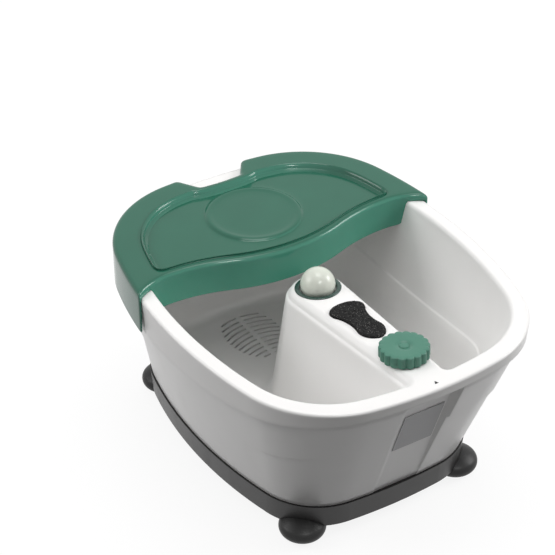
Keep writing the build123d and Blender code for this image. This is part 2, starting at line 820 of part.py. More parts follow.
def air_pump():
    """Air pump case with a lid line and an outlet nipple to the rear."""
    wide, deep, high = pump_size
    case = block(pump_size, (-wide / 2, pump_y - deep / 2, pump_low()))
    case = fillet(case.edges().filter_by(Axis.Z), 4.0)
    groove = block((wide + 2, deep + 2, 1.0), (-wide / 2 - 1, pump_y - deep / 2 - 1, pump_low() + high * 0.7))
    core = block((wide - 1, deep - 1, 2.0), (-wide / 2 + 0.5, pump_y - deep / 2 + 0.5, pump_low() + high * 0.7 - 0.5))
    case -= groove - core
    case += pump_nipple(hose_r - hose_wall)
    return case


def pump_nipple(radius):
    """The pump's outlet, as a cylinder along +Y at the hose's line."""
    rear = pump_y + pump_size[1] / 2
    return Pos(hose_x, rear + nipple_length / 2, hose_z) * Rot(90, 0, 0) * Cylinder(radius, nipple_length)


def pump_grommets():
    """Rubber grommets under the pump's corners."""
    wide, deep, _ = pump_size
    made = []
    for sx in (-1, 1):
        for sy in (-1, 1):
            place = (sx * (wide / 2 - 8), pump_y + sy * (deep / 2 - 8), pan_floor_z)
            ring = cylinder(grommet_r, place, grommet_height)
            ring -= cylinder(grommet_r - 3.0, place, grommet_height)
            made.append(ring)
    return made


def air_hose():
    """Hose from the pump's nipple to the chamber's, straight runs joined by tangent arcs."""
    start_y = pump_y + pump_size[1] / 2 + 0.5
    end_y = hose_end_y()
    x_end = hose_x * 0.25
    z_end = chamber_mid_z()
    path = FilletPolyline(
        (hose_x, start_y, hose_z),
        (hose_x, end_y - 46, hose_z),
        (x_end, end_y - 16, z_end),
        (x_end, end_y, z_end),
        radius=18.0,
    )
    section = Plane(origin=path @ 0, z_dir=path % 0)
    outer = sweep(section * Circle(hose_r), path=path)
    inner = sweep(section * Circle(hose_r - hose_wall + run_fit), path=path)
    return outer - inner


def hose_end_y():
    """Where the hose ends, just short of the chamber's wall."""
    return grille_y - grille_half_length - chamber_margin - chamber_play


def chamber_mid_z():
    """Height of the middle of the air chamber."""
    return under_floor_z - chamber_depth / 2


def air_chamber():
    """Shallow cup under the grille, with an inlet nipple at its front."""
    low = under_floor_z - chamber_depth
    plan = Pos(0, grille_y, low) * Ellipse(grille_half_width + chamber_margin, grille_half_length + chamber_margin)
    room = chamber_margin - chamber_wall
    hollow = Pos(0, grille_y, low) * Ellipse(grille_half_width + room, grille_half_length + room)
    cup = extrude(plan, chamber_depth) - extrude(Pos(0, 0, chamber_wall) * hollow, chamber_depth)
    pipe = Pos(hose_x * 0.25, hose_end_y() - nipple_length / 2 + 4.5, chamber_mid_z()) * Rot(90, 0, 0)
    cup += pipe * Cylinder(hose_r - hose_wall, nipple_length + 4)
    cup -= pipe * Cylinder(hose_r - hose_wall - 1.0, nipple_length + 12)
    return cup


def heater_plate(side):
    """Aluminium heater plate under a foot well's floor."""
    wide, deep, thick = heater_size
    low = (side * heater_x - wide / 2, heater_y - deep / 2, under_floor_z - thick)
    plate = block(heater_size, low)
    return fillet(plate.edges().filter_by(Axis.Z), 6.0)


def thermostat():
    """Disc thermostat under the left heater plate."""
    top = under_floor_z - heater_size[2]
    disc = cylinder(thermostat_r, (-heater_x, heater_y, top - thermostat_height), thermostat_height)
    for sx in (-1, 1):
        disc += block((1.0, 4.0, 5.0), (-heater_x + sx * 4 - 0.5, heater_y - 2, top - thermostat_height - 5.0))
    return disc


def thermal_fuse():
    """Thermal fuse under the right heater plate."""
    top = under_floor_z - heater_size[2]
    body = Rot(90, 0, 0) * Cylinder(fuse_r, fuse_length)
    body += block((2 * fuse_r, fuse_length * 0.5, fuse_r), (-fuse_r, -fuse_length * 0.25, 0))
    return Pos(heater_x, heater_y, top - fuse_r) * body


def terminal_block():
    """Screw terminal block on the base pan's floor, by the inlet."""
    wide, deep, high = terminal_size
    body = block(terminal_size, (terminal_x - wide / 2, terminal_y - deep / 2, pan_floor_z))
    for i in range(3):
        x = terminal_x + (i - 1) * wide / 3
        body -= cylinder(2.5, (x, terminal_y, pan_floor_z + high - 5), 6)
        body -= Pos(x, terminal_y, pan_floor_z + 4) * Rot(90, 0, 0) * Cylinder(2.0, far)
    return body


def cord_gland():
    """Bush in the rear wall where the mains lead would enter, with a flange outside and a lip inside."""
    tube = Cylinder(gland_r, pan_wall + 6.0)
    tube = tube + Pos(0, 0, 2.7) * Cylinder(gland_flange_r, gland_flange)
    tube = tube - Cylinder(gland_bore, far)
    return gland_at(tube)


def save(name, made):
    """Writes one node's solids to its own file."""
    solids = [s for item in (made if isinstance(made, list) else [made]) for s in item.solids()]
    shape = solids[0] if len(solids) == 1 else Compound(children=solids)
    export_step(shape, f"parts/{name}.step")


def main():
    """Builds every piece and writes it."""
    os.makedirs("parts", exist_ok=True)
    save("basin", basin())
    save("outer_body", outer_body())
    save("base_pan", base_pan())
    save("rating_plate", rating_plate())
    for name, (x, y) in zip(("front_left", "front_right", "rear_left", "rear_right"), foot_places()):
        save(f"rubber_foot_{name}", rubber_foot(x, y))
    save("foot_screws", foot_screws())
    save("pan_screws", pan_screws())
    save("splash_cover", splash_cover())
    save("ball_bezel", ball_bezel())
    save("ball_cup", ball_cup())
    save("massage_ball", massage_ball())
    save("ball_spindle", ball_spindle())
    save("spindle_clip", spindle_clip())
    save("pumice_stone", pumice_stone())
    save("control_knob", control_knob())
    save("switch_shaft", switch_shaft())
    save("rotary_switch", rotary_switch())
    save("switch_nut", switch_nut())
    save("switch_seal", switch_seal())
    save("vibration_motor", vibration_motor())
    save("motor_shaft", motor_shaft())
    save("eccentric_weight", eccentric_weight())
    save("motor_bracket", motor_bracket())
    save("bracket_screws", bracket_screws())
    save("air_pump", air_pump())
    save("pump_grommets", pump_grommets())
    save("air_hose", air_hose())
    save("air_chamber", air_chamber())
    save("heater_plate_left", heater_plate(-1))
    save("heater_plate_right", heater_plate(1))
    save("thermostat", thermostat())
    save("thermal_fuse", thermal_fuse())
    save("terminal_block", terminal_block())
    save("cord_gland", cord_gland())


if __name__ == "__main__":
    main()
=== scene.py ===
"""Looks for the foot spa basin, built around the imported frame: shells, finishes, lights and camera."""

import json
import logging
from collections.abc import Callable
from dataclasses import dataclass
from enum import Enum
from math import atan2, cos, hypot, pi, radians, sin, sqrt

import bmesh
import bpy
import numpy as np
from mathutils import Matrix, Vector
from mathutils.geometry import delaunay_2d_cdt


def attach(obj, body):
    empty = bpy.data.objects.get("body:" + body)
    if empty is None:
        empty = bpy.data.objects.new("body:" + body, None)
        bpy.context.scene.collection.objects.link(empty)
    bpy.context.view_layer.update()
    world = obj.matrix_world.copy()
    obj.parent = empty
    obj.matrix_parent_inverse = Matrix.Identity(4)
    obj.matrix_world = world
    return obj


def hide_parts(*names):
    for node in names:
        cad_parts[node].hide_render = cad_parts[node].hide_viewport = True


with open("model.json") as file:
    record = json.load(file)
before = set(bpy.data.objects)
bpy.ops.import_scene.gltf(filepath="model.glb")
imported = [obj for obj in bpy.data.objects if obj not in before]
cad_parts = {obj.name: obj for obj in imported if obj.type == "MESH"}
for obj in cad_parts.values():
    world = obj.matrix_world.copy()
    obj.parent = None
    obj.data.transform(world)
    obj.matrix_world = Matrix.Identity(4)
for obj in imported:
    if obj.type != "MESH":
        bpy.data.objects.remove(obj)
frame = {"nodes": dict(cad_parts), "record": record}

LOG = logging.getLogger("foot_spa")
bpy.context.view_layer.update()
MM = 0.001


class Body(str, Enum):
    """The rigid bodies that pieces ride on."""

    HOUSING = "housing"
    COVER = "cover"
    STONE = "stone"
    BALL = "ball"
    KNOB = "knob"
    ROTOR = "rotor"


# ---------------------------------------------------------------- plane curves, in millimetres


def smooth_step(t: np.ndarray) -> np.ndarray:
    """The cubic 3t^2 - 2t^3, held at 0 below 0 and at 1 above 1."""
    t = np.clip(t, 0.0, 1.0)
    return t * t * (3 - 2 * t)


def arc(centre: tuple, radius: float, start: float, end: float, steps: int) -> np.ndarray:
    """Points of a circular arc: centre + radius (cos, sin), with angles in degrees."""
    angle = np.radians(np.linspace(start, end, steps))
    return np.stack([centre[0] + radius * np.cos(angle), centre[1] + radius * np.sin(angle)], -1)


def arc_through(a: tuple, b: tuple, c: tuple, steps: int) -> np.ndarray:
    """Points of the circular arc through three points, from a past b to c.

    The centre solves the two equations that say it is as far from b, and from c, as it is from a.
    """
    pa, pb, pc = (np.array(p, float) for p in (a, b, c))
    system = 2 * np.stack([pb - pa, pc - pa])
    centre = np.linalg.solve(system, np.array([pb @ pb - pa @ pa, pc @ pc - pa @ pa]))
    start, mid, end = (np.arctan2(*(p - centre)[::-1]) for p in (pa, pb, pc))
    sweep = (end - start) % (2 * pi)
    if (mid - start) % (2 * pi) > sweep:
        sweep -= 2 * pi
    angle = start + np.linspace(0, sweep, steps)
    return centre + np.hypot(*(pa - centre)) * np.stack([np.cos(angle), np.sin(angle)], -1)


def along(points: np.ndarray, closed: bool) -> np.ndarray:
    """Distance along a polyline to each of its points, and to its start again where it is closed."""
    ends = np.vstack([points, points[:1]]) if closed else points
    return np.concatenate([[0.0], np.cumsum(np.hypot(*np.diff(ends, axis=0).T))])


def sampled(points: np.ndarray, spots: np.ndarray, closed: bool) -> np.ndarray:
    """Points of a polyline at given distances along it."""
    run = along(points, closed)
    ends = np.vstack([points, points[:1]]) if closed else points
    return np.stack([np.interp(spots, run, ends[:, k]) for k in (0, 1)], -1)


def evenly(points: np.ndarray, count: int, closed: bool) -> np.ndarray:
    """A polyline resampled to a number of points at equal distances."""
    total = along(points, closed)[-1]
    return sampled(points, np.linspace(0, total, count, endpoint=not closed), closed)


def softened(loop: np.ndarray, window: float, passes: int = 2) -> np.ndarray:
    """A closed loop of even spacing with rounded corners: each point becomes the mean over a window."""
    pitch = along(loop, True)[-1] / len(loop)
    half = max(1, int(round(window / pitch / 2)))
    for _ in range(passes):
        wrapped = np.vstack([loop[-half:], loop, loop[:half]])
        total = np.vstack([[0, 0], np.cumsum(wrapped, axis=0)])
        loop = (total[2 * half + 1:] - total[:-2 * half - 1]) / (2 * half + 1)
    return loop


def outward(loop: np.ndarray) -> np.ndarray:
    """Unit normals of a closed anticlockwise loop, pointing out of it."""
    tangent = np.roll(loop, -1, 0) - np.roll(loop, 1, 0)
    normal = np.stack([tangent[:, 1], -tangent[:, 0]], -1)
    return normal / np.hypot(*normal.T)[:, None]


def both_halves(half: np.ndarray) -> np.ndarray:
    """A closed loop from its right half, which starts and ends on x = 0."""
    left = half[-2:0:-1] * np.array([-1, 1])
    return np.vstack([half, left])


def inside(loop: np.ndarray, spots: np.ndarray) -> np.ndarray:
    """True for spots inside a loop: a ray along +x from them crosses it an odd number of times."""
    a, b = loop, np.roll(loop, -1, 0)
    x, y = spots[:, :1], spots[:, 1:]
    spans = (a[:, 1] > y) != (b[:, 1] > y)
    rise = np.where(b[:, 1] == a[:, 1], 1e-9, b[:, 1] - a[:, 1])
    cross = a[:, 0] + (y - a[:, 1]) / rise * (b[:, 0] - a[:, 0])
    return (np.sum(spans & (x < cross), axis=1) % 2).astype(bool)


@dataclass(frozen=True)
class Oval:
    """A closed outline of eight tangent arcs, mirrored in x: front, sides and back joined by corners."""

    half_width: float
    side_y: float
    side_r: float
    front: float
    front_r: float
    front_corner_r: float
    back: float
    back_r: float
    back_corner_r: float

    def grown(self, out: float, front_out: float | None = None) -> "Oval":
        """The oval moved out by a distance, with a separate value for its front."""
        ahead = out if front_out is None else front_out
        return Oval(self.half_width + out, self.side_y, self.side_r + out, self.front + ahead,
                    self.front_r + ahead, self.front_corner_r + out, self.back + out, self.back_r + out,
                    self.back_corner_r + out)

    def toward(self, other: "Oval", t: float) -> "Oval":
        """The oval part of the way to another: each size moves by the same share."""
        names = self.__dataclass_fields__
        return Oval(*[getattr(self, n) + (getattr(other, n) - getattr(self, n)) * t for n in names])

    @staticmethod
    def _corner(big: tuple, big_r: float, side: tuple, side_r: float, r: float, turn: int) -> tuple:
        """Centre of the corner arc: where circles of radius big_r - r and side_r - r cross."""
        a, b = big_r - r, side_r - r
        dx, dy = side[0] - big[0], side[1] - big[1]
        d = hypot(dx, dy)
        run = (a * a - b * b + d * d) / (2 * d)
        aside = sqrt(a * a - run * run)
        spots = [(big[0] + (run * dx - s * aside * dy) / d, big[1] + (run * dy + s * aside * dx) / d)
                 for s in (1, -1)]
        return max(spots, key=lambda p: p[0] + turn * p[1])

    def half(self, per_arc: int = 400) -> tuple[np.ndarray, np.ndarray]:
        """Points and outward normals of the right half, from the front's middle to the rear's middle."""
        front = (0.0, -self.front + self.front_r)
        side = (self.half_width - self.side_r, self.side_y)
        back = (0.0, self.back - self.back_r)
        near = self._corner(front, self.front_r, side, self.side_r, self.front_corner_r, -1)
        rear = self._corner(back, self.back_r, side, self.side_r, self.back_corner_r, 1)
        turns = [atan2(near[1] - front[1], near[0] - front[0]), atan2(near[1] - side[1], near[0] - side[0]),
                 atan2(rear[1] - side[1], rear[0] - side[0]), atan2(rear[1] - back[1], rear[0] - back[0])]
        stops = [-pi / 2, *turns, pi / 2]
        parts = [(front, self.front_r), (near, self.front_corner_r), (side, self.side_r),
                 (rear, self.back_corner_r), (back, self.back_r)]
        points, normals = [], []
        for (centre, radius), start, end in zip(parts, stops, stops[1:]):
            angle = np.linspace(start, end, per_arc)
            normal = np.stack([np.cos(angle), np.sin(angle)], -1)
            keep = slice(0 if not points else 1, None)
            points.append((np.array(centre) + radius * normal)[keep])
            normals.append(normal[keep])
        return np.vstack(points), np.vstack(normals)

    def loop(self, count: int) -> np.ndarray:
        """The whole outline, anticlockwise from the front's middle, evenly spaced."""
        return evenly(both_halves(self.half()[0]), count, True)


# ---------------------------------------------------------------- meshes


class Skin:
    """Surface patches in millimetres that are welded into one mesh and given a wall thickness."""

    def __init__(self) -> None:
        """Starts with no patches."""
        self.points: list[np.ndarray] = []
        self.faces: list[tuple] = []
        self.count = 0

    def add(self, points: np.ndarray, faces: np.ndarray) -> None:
        """Adds a patch of points and of faces that index them."""
        self.faces += [tuple(f) for f in (faces + self.count).tolist()]
        self.points.append(points)
        self.count += len(points)

    def grid(self, rows: np.ndarray, flip: bool, closed: bool = True) -> None:
        """Adds a grid of points, of shape (rows, columns, 3).

        Args:
            rows: The points. A face's normal is the way along a row crossed with the way up the columns.
            flip: Turns the faces over.
            closed: Joins the last column to the first.
        """
        levels, around = rows.shape[:2]
        i, j = np.meshgrid(np.arange(levels - 1), np.arange(around if closed else around - 1), indexing="ij")
        k = (j + 1) % around
        quads = np.stack([i * around + j, i * around + k, (i + 1) * around + k, (i + 1) * around + j], -1)
        quads = quads.reshape(-1, 4)
        self.add(rows.reshape(-1, 3), quads[:, ::-1] if flip else quads)

    def fill(self, loops: list[np.ndarray], pitch: float, lift: Callable, flip: bool = False) -> None:
        """Adds triangles over a region of the plan: inside the first loop and outside the others.

        Args:
            loops: Closed loops in plan.
            pitch: Spacing of the lattice of inner points.
            lift: Gives the height for arrays of x and y.
            flip: Turns the faces over.
        """
        edge = np.vstack(loops)
        low, high = edge.min(0), edge.max(0)
        gx, gy = np.meshgrid(np.arange(low[0] + pitch, high[0], pitch), np.arange(low[1] + pitch, high[1], pitch))
        inner = np.stack([gx.ravel(), gy.ravel()], -1)
        inner = inner[self._within(loops, inner)]
        apart = np.array([np.min((edge[:, 0] - x) ** 2 + (edge[:, 1] - y) ** 2) for x, y in inner])
        inner = inner[apart > (0.6 * pitch) ** 2]
        spots = np.vstack([edge, inner])
        joins, start = [], 0
        for loop in loops:
            ring = np.arange(start, start + len(loop))
            joins += np.stack([ring, np.roll(ring, -1)], -1).tolist()
            start += len(loop)
        made = delaunay_2d_cdt([Vector(p) for p in spots.tolist()], joins, [], 0, 1e-5)
        flat = np.array([tuple(v) for v in made[0]])
        tris = np.array(made[2])
        tris = tris[self._within(loops, flat[tris].mean(1))]
        self.add(np.column_stack([flat, lift(flat[:, 0], flat[:, 1])]), tris[:, ::-1] if flip else tris)

    @staticmethod
    def _within(loops: list[np.ndarray], spots: np.ndarray) -> np.ndarray:
        """True for spots inside the first loop and outside the others."""
        keep = inside(loops[0], spots)
        for hole in loops[1:]:
            keep &= ~inside(hole, spots)
        return keep

    def build(self, name: str, material: bpy.types.Material, wall: float = 0.0, bevel: float = 0.0,
              place: Matrix | None = None, sharp: float = 40.0) -> bpy.types.Object:
        """Welds the patches, thickens them away from their normals and makes the object.

        Args:
            name: The piece's name.
            material: Its finish.
            wall: Wall thickness in millimetres, or 0 to leave the surface as it is.
            bevel: Width in millimetres of a small round on sharp edges, or 0 for none.
            place: Matrix from the patches' axes to the frame.
            sharp: Edges that turn by more degrees than this shade as edges.

        Returns:
            The object, at the origin, with its modifiers applied.
        """
        mesh = bpy.data.meshes.new(name)
        mesh.from_pydata((np.vstack(self.points) * MM).tolist(), [], self.faces)
        if place is not None:
            mesh.transform(place)
        welded = bmesh.new()
        welded.from_mesh(mesh)
        bmesh.ops.remove_doubles(welded, verts=welded.verts, dist=0.02 * MM)
        bmesh.ops.dissolve_degenerate(welded, edges=welded.edges, dist=0.005 * MM)
        welded.to_mesh(mesh)
        welded.free()
        piece = bpy.data.objects.new(name, mesh)
        bpy.context.scene.collection.objects.link(piece)
        if wall:
            shell = piece.modifiers.new("wall", "SOLIDIFY")
            shell.thickness = wall * MM
            shell.offset = -1.0
            shell.use_even_offset = False
        if bevel:
            rounding = piece.modifiers.new("rounding", "BEVEL")
            rounding.width = bevel * MM
            rounding.segments = 2
            rounding.limit_method = "ANGLE"
            rounding.angle_limit = radians(28)
        if piece.modifiers:
            seen = piece.evaluated_get(bpy.context.evaluated_depsgraph_get())
            baked = bpy.data.meshes.new_from_object(seen)
            piece.modifiers.clear()
            piece.data = baked
        piece.data.shade_smooth()
        piece.data.set_sharp_from_angle(angle=radians(sharp))
        piece.data.materials.clear()
        piece.data.materials.append(material)
        return piece


def settle(piece: bpy.types.Object, body: Body, slot: str, *stands_for: str) -> None:
    """Hangs a piece on the body it rides on and hides the CAD nodes that it stands for."""
    if stands_for:
        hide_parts(*stands_for)
    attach(piece, body.value)
    LOG.info("%s made, with %d faces", piece.name, len(piece.data.polygons))


def lathe(name: str, profile: np.ndarray, around: int, material: bpy.types.Material, place: Matrix,
          lobes: np.ndarray | None = None, sharp: float = 50.0) -> bpy.types.Object:
    """A profile of radius and height turned about the z axis of a place, with its ends closed.

    Args:
        name: The piece's name.
        profile: An (n, 2) array of radius and height in millimetres, running up the outside.
        around: Points around.
        material: The finish.
        place: The matrix from the lathe's own axes to the frame.
        lobes: An (n, around) array that scales each radius, or None for a plain round.
        sharp: Edges that turn by more degrees than this shade as edges.

    Returns:
        The new object.
    """
    turn = np.linspace(0, 2 * pi, around, endpoint=False)
    radius = profile[:, :1] * (np.ones((len(profile), around)) if lobes is None else lobes)
    rows = np.stack([radius * np.cos(turn), radius * np.sin(turn), np.repeat(profile[:, 1:], around, 1)], -1)
    skin = Skin()
    skin.grid(rows, flip=False)
    return skin.build(name, material, place=place, sharp=sharp)


# ---------------------------------------------------------------- materials


class Finishes:
    """Node materials, with a shared group for moulded grain and one for handling marks."""

    def __init__(self) -> None:
        """Builds the shared groups."""
        self.grain = self._grain_group()
        self.marks = self._marks_group()

    @staticmethod
    def _group(name: str, inputs: tuple, outputs: tuple) -> bpy.types.ShaderNodeTree:
        """A node group with named inputs (name, kind, value) and outputs (name, kind)."""
        tree = bpy.data.node_groups.new(name, "ShaderNodeTree")
        for label, kind, value in inputs:
            socket = tree.interface.new_socket(name=label, in_out="INPUT", socket_type=kind)
            socket.default_value = value
        for label, kind in outputs:
            tree.interface.new_socket(name=label, in_out="OUTPUT", socket_type=kind)
        return tree

    def _grain_group(self) -> bpy.types.ShaderNodeTree:
        """A group that puts out a mottled colour, a roughness and a bump height from Object coordinates."""
        tree = self._group("moulded_grain", (
            ("Colour", "NodeSocketColor", (0.8, 0.8, 0.8, 1)),
            ("Shade", "NodeSocketColor", (0.7, 0.7, 0.7, 1)),
            ("Mottle Scale", "NodeSocketFloat", 30.0),
            ("Grain Scale", "NodeSocketFloat", 900.0),
            ("Roughness", "NodeSocketFloat", 0.3),
            ("Roughness Spread", "NodeSocketFloat", 0.08),
        ), (("Colour", "NodeSocketColor"), ("Roughness", "NodeSocketFloat"), ("Height", "NodeSocketFloat")))
        nodes, links = tree.nodes, tree.links
        given, out = nodes.new("NodeGroupInput"), nodes.new("NodeGroupOutput")
        where = nodes.new("ShaderNodeTexCoord")
        mottle, fine = nodes.new("ShaderNodeTexNoise"), nodes.new("ShaderNodeTexNoise")
        mottle.inputs["Detail"].default_value = 3.0
        fine.inputs["Detail"].default_value = 2.0
        mix = nodes.new("ShaderNodeMix")
        mix.data_type = "RGBA"
        spread, centre = nodes.new("ShaderNodeMath"), nodes.new("ShaderNodeMath")
        spread.operation = "MULTIPLY_ADD"
        centre.operation = "SUBTRACT"
        centre.inputs[1].default_value = 0.5
        links.new(where.outputs["Object"], mottle.inputs["Vector"])
        links.new(where.outputs["Object"], fine.inputs["Vector"])
        links.new(given.outputs["Mottle Scale"], mottle.inputs["Scale"])
        links.new(given.outputs["Grain Scale"], fine.inputs["Scale"])
        links.new(mottle.outputs["Fac"], mix.inputs["Factor"])
        links.new(given.outputs["Colour"], mix.inputs["A"])
        links.new(given.outputs["Shade"], mix.inputs["B"])
        links.new(mottle.outputs["Fac"], centre.inputs[0])
        links.new(centre.outputs[0], spread.inputs[0])
        links.new(given.outputs["Roughness Spread"], spread.inputs[1])
        links.new(given.outputs["Roughness"], spread.inputs[2])
        links.new(mix.outputs["Result"], out.inputs["Colour"])
        links.new(spread.outputs[0], out.inputs["Roughness"])
        links.new(fine.outputs["Fac"], out.inputs["Height"])
        return tree

    def _marks_group(self) -> bpy.types.ShaderNodeTree:
        """A group that dulls a roughness in thin, faint wipe marks, and darkens a colour a little with them."""
        tree = self._group("wipe_marks", (
            ("Colour", "NodeSocketColor", (0.8, 0.8, 0.8, 1)),
            ("Roughness", "NodeSocketFloat", 0.3),
            ("Amount", "NodeSocketFloat", 0.1),
        ), (("Colour", "NodeSocketColor"), ("Roughness", "NodeSocketFloat")))
        nodes, links = tree.nodes, tree.links
        given, out = nodes.new("NodeGroupInput"), nodes.new("NodeGroupOutput")
        where, stretch = nodes.new("ShaderNodeTexCoord"), nodes.new("ShaderNodeMapping")
        stretch.inputs["Scale"].default_value = (18.0, 60.0, 30.0)
        stretch.inputs["Rotation"].default_value = (0.2, 0.1, 0.6)
        streak, ramp = nodes.new("ShaderNodeTexNoise"), nodes.new("ShaderNodeValToRGB")
        streak.inputs["Scale"].default_value = 1.0
        streak.inputs["Detail"].default_value = 5.0
        ramp.color_ramp.elements[0].position = 0.52
        ramp.color_ramp.elements[1].position = 0.78
        part, rough = nodes.new("ShaderNodeMath"), nodes.new("ShaderNodeMath")
        part.operation = "MULTIPLY"
        rough.operation = "ADD"
        dark = nodes.new("ShaderNodeMix")
        dark.data_type = "RGBA"
        dark.blend_type = "MULTIPLY"
        dark.inputs["B"].default_value = (0.86, 0.85, 0.83, 1)
        links.new(where.outputs["Object"], stretch.inputs["Vector"])
        links.new(stretch.outputs["Vector"], streak.inputs["Vector"])
        links.new(streak.outputs["Fac"], ramp.inputs["Fac"])
        links.new(ramp.outputs["Color"], part.inputs[0])
        links.new(given.outputs["Amount"], part.inputs[1])
        links.new(part.outputs[0], rough.inputs[0])
        links.new(given.outputs["Roughness"], rough.inputs[1])
        links.new(part.outputs[0], dark.inputs["Factor"])
        links.new(given.outputs["Colour"], dark.inputs["A"])
        links.new(dark.outputs["Result"], out.inputs["Colour"])
        links.new(rough.outputs[0], out.inputs["Roughness"])
        return tree

    def moulded(self, name: str, colour: tuple, shade: tuple, roughness: float, grain: float = 900.0,
                bump: float = 0.02, coat: float = 0.0, metallic: float = 0.0, spread: float = 0.06,
                mottle: float = 30.0, marks: float = 0.08, specular: float = 0.5) -> bpy.types.Material:
        """A moulded or plain finish with mottled colour, uneven gloss, faint wipe marks and fine relief.

        Args:
            name: The material's name.
            colour: Main colour, linear.
            shade: Second colour of the mottling, linear.
            roughness: Mean roughness.
            grain: Scale of the fine relief, per metre.
            bump: Strength of the fine relief.
            coat: Clear coat weight.
            metallic: Metallic value.
            spread: How far the roughness varies.
            mottle: Scale of the mottling, per metre.
            marks: Strength of the wipe marks.
            specular: Specular level.

        Returns:
            The material.
        """
        material = bpy.data.materials.new(name)
        material.use_nodes = True
        nodes, links = material.node_tree.nodes, material.node_tree.links
        shader = nodes["Principled BSDF"]
        grained, wiped = nodes.new("ShaderNodeGroup"), nodes.new("ShaderNodeGroup")
        grained.node_tree, wiped.node_tree = self.grain, self.marks
        grained.inputs["Colour"].default_value = (*colour, 1)
        grained.inputs["Shade"].default_value = (*shade, 1)
        grained.inputs["Mottle Scale"].default_value = mottle
        grained.inputs["Grain Scale"].default_value = grain
        grained.inputs["Roughness"].default_value = roughness
        grained.inputs["Roughness Spread"].default_value = spread
        wiped.inputs["Amount"].default_value = marks
        relief = nodes.new("ShaderNodeBump")
        relief.inputs["Strength"].default_value = bump
        relief.inputs["Distance"].default_value = 0.001
        links.new(grained.outputs["Colour"], wiped.inputs["Colour"])
        links.new(grained.outputs["Roughness"], wiped.inputs["Roughness"])
        links.new(wiped.outputs["Colour"], shader.inputs["Base Color"])
        links.new(wiped.outputs["Roughness"], shader.inputs["Roughness"])
        links.new(grained.outputs["Height"], relief.inputs["Height"])
        links.new(relief.outputs["Normal"], shader.inputs["Normal"])
        shader.inputs["Metallic"].default_value = metallic
        shader.inputs["Specular IOR Level"].default_value = specular
        shader.inputs["Coat Weight"].default_value = coat
        shader.inputs["Coat Roughness"].default_value = 0.12
        return material


